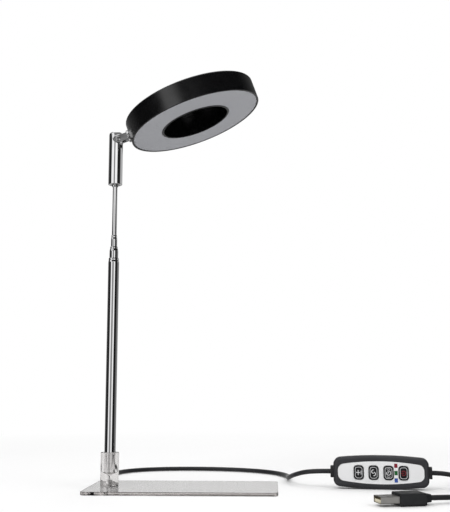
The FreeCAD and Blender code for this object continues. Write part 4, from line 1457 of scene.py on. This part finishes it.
@dataclass
class Studio:
    """Camera, soft lamps, pale floor and white surround.

    Bearings are in degrees from the side that the photograph was taken from, heights in parts of the
    direction's length. Clear pieces show the flags in full up to the first value of front, which is the
    direction's Y, and white from the second.
    """

    focal_px: float = 813.0
    frame_px: float = 512.0
    sensor: float = 36.0
    camera_mm: Triple = (65.7, -619.1, 77.4)
    yaw: float = math.radians(-3.18)
    pitch: float = math.radians(8.94)
    roll: float = math.radians(-0.11)
    floor_half: float = 4.0
    floor_drop: float = 0.0002
    lamp_aim: Triple = (0.05, 0.0, 0.15)
    ambient: float = 0.72
    front: Pair = (-0.3, -0.1)
    level_shades: Outline = (
        (-180, 0.61), (-168, 0.6), (-158, 0.2), (-112, 0.08), (-100, 0.02), (-48, 0.02), (-41, 0.95),
        (-23, 1.0), (-17, 0.22), (10, 0.25), (25, 1.0), (38, 1.0), (43, 0.01), (84, 0.01), (96, 0.12),
        (122, 0.18), (155, 0.27), (168, 0.6), (180, 0.61))
    zones: tuple[Zone, ...] = (
        Zone(0.18, 0.22, (
            (-180, 0.4), (-142, 0.35), (-112, 0.03), (-62, 0.01), (-54, 0.95), (-20, 0.95), (-14, 0.2),
            (0, 0.18), (6, 1.0), (36, 1.0), (43, 0.01), (92, 0.02), (102, 0.45), (130, 0.45),
            (180, 0.4)), True),
        Zone(0.295, 0.33, (
            (-180, 0.15), (-150, 0.15), (-135, 0.02), (-80, 0.02), (-68, 1.0), (-48, 0.9), (-38, 0.3),
            (-26, 0.04), (30, 0.02), (112, 0.01), (130, 0.06), (150, 0.1), (180, 0.15)), True),
        Zone(0.56, 0.61, (
            (-180, 0.15), (-110, 0.15), (-90, 0.05), (-75, 0.85), (-8, 0.85), (0, 0.02), (112, 0.01),
            (130, 0.06), (180, 0.15))),
        Zone(0.74, 0.95, ((0, 0.85),)),
        Zone(-0.5, -0.8, ((0, 0.2),)))

    def build(self) -> None:
        """Set up the camera, lamps, floor and surround."""
        self.build_camera()
        self.build_floor()
        self.build_surround()
        self.lamp("key", (-0.55, -0.75, 1.15), size=0.7, power=6.0)
        self.lamp("fill", (0.85, -0.55, 0.75), size=0.6, power=2.5)
        self.lamp("back", (0.1, 0.9, 1.0), size=0.8, power=3.0)
        bpy.context.scene.view_settings.view_transform = "Standard"

    def build_camera(self) -> None:
        """Place the camera where the photograph was taken from."""
        flat = Vector((math.sin(self.yaw), math.cos(self.yaw), 0))
        forward = flat * math.cos(self.pitch) + UP * math.sin(self.pitch)
        level = flat.cross(UP)
        over = level.cross(forward)
        right = level * math.cos(self.roll) + over * math.sin(self.roll)
        top = over * math.cos(self.roll) - level * math.sin(self.roll)
        data = bpy.data.cameras.new("camera")
        data.sensor_width = self.sensor
        data.lens = self.focal_px / self.frame_px * self.sensor
        data.clip_start, data.clip_end = 0.01, 20.0
        obj = bpy.data.objects.new("camera", data)
        rotation = Matrix((right, top, -forward)).transposed().to_4x4()
        obj.matrix_world = Matrix.Translation(Vector(self.camera_mm) * MM) @ rotation
        bpy.context.collection.objects.link(obj)
        bpy.context.scene.camera = obj

    def build_floor(self) -> None:
        """Lay the floor, which polished faces don't show."""
        bm = bmesh.new()
        bmesh.ops.create_grid(bm, x_segments=1, y_segments=1, size=self.floor_half)
        obj = as_object("floor", bm)
        obj.data.materials.append(PaleFloor("floor", (0.93, 0.93, 0.93), roughness=0.9).material())
        obj.location.z = -self.floor_drop
        obj.visible_glossy = False

    def build_surround(self) -> None:
        """Even light from all round, white to the camera, with soft dark flags in the reflections."""
        world = bpy.data.worlds.new("surround")
        world.use_nodes = True
        bench = Bench(world.node_tree)
        way = bench.parts("Generated")
        plain = bench.blend(bench.seen(), self.ambient, 1.0)
        to_front = bench.between(way["Y"], 1.0, 0.0, *self.front)
        through = bench.math("MULTIPLY", bench.rays("Is Transmission Ray"), to_front)
        flagged = bench.math("MAXIMUM", bench.rays("Is Glossy Ray"), through)
        bench.set(Color=(1.0, 1.0, 1.0, 1.0))
        bench.feed("Strength", bench.blend(flagged, plain, self.flags(bench, way)))
        bpy.context.scene.world = world

    def flags(self, bench: Bench, way: dict[str, Socket]) -> Socket:
        """Brightness of the surround by direction, as polished metal shows it.

        Args:
            bench: The surround's tree.
            way: X, Y and Z of the direction.

        Returns:
            The brightness.
        """
        bearing = bench.math("ARCTAN2", way["X"], bench.math("MULTIPLY", way["Y"], -1.0))
        turn = bench.between(bearing, 0.0, 1.0, -math.pi, math.pi)
        height = bench.math("ABSOLUTE", way["Z"])
        shown = self.ramp(bench, turn, self.level_shades)
        for zone in self.zones:
            share = bench.between(height if zone.both_ways else way["Z"], 0.0, 1.0, zone.start, zone.full)
            shown = bench.blend(share, shown, self.ramp(bench, turn, zone.shades))
        return shown

    def ramp(self, bench: Bench, turn: Socket, shades: Outline) -> Socket:
        """Shades by bearing.

        Args:
            bench: The surround's tree.
            turn: The bearing as a share of the full turn.
            shades: Bearing in degrees and shade of each stop.

        Returns:
            The shade.
        """
        node = bench.node("ValToRGB", {"Fac": turn})
        stops = node.color_ramp.elements
        stops.remove(stops[-1])
        for index, (degrees, level) in enumerate(shades):
            place = (degrees + 180) / 360
            stop = stops.new(place) if index else stops[0]
            stop.position, stop.color = place, (level, level, level, 1.0)
        return node.outputs["Color"]

    def lamp(self, name: str, at: Triple, size: float, power: float) -> None:
        """Hang a soft square lamp that points at the middle of the object.

        Args:
            name: Name of the lamp.
            at: Its place in metres.
            size: Side of the square in metres.
            power: Power in watts.
        """
        data = bpy.data.lights.new(name, "AREA")
        data.size, data.energy = size, power
        obj = bpy.data.objects.new(name, data)
        aim = Vector(self.lamp_aim) - Vector(at)
        obj.matrix_world = Matrix.Translation(at) @ aim.to_track_quat("-Z", "Y").to_matrix().to_4x4()
        obj.visible_camera = obj.visible_glossy = False
        bpy.context.collection.objects.link(obj)


def main() -> None:
    """Build the camera and cords first, then every sub-assembly around the frame."""
    logging.basicConfig(level=logging.INFO, format="%(message)s")
    Studio().build()
    controller, plug, pole = Controller(), Plug(), Pole()
    on_controller, on_plug = controller.build(), plug.build()
    CordSet(controller, plug, pole).build(on_controller, on_plug)
    Foot().build()
    pole.build()
    Hinge().build()
    RingHead().build()


if __name__ == "__main__":
    main()
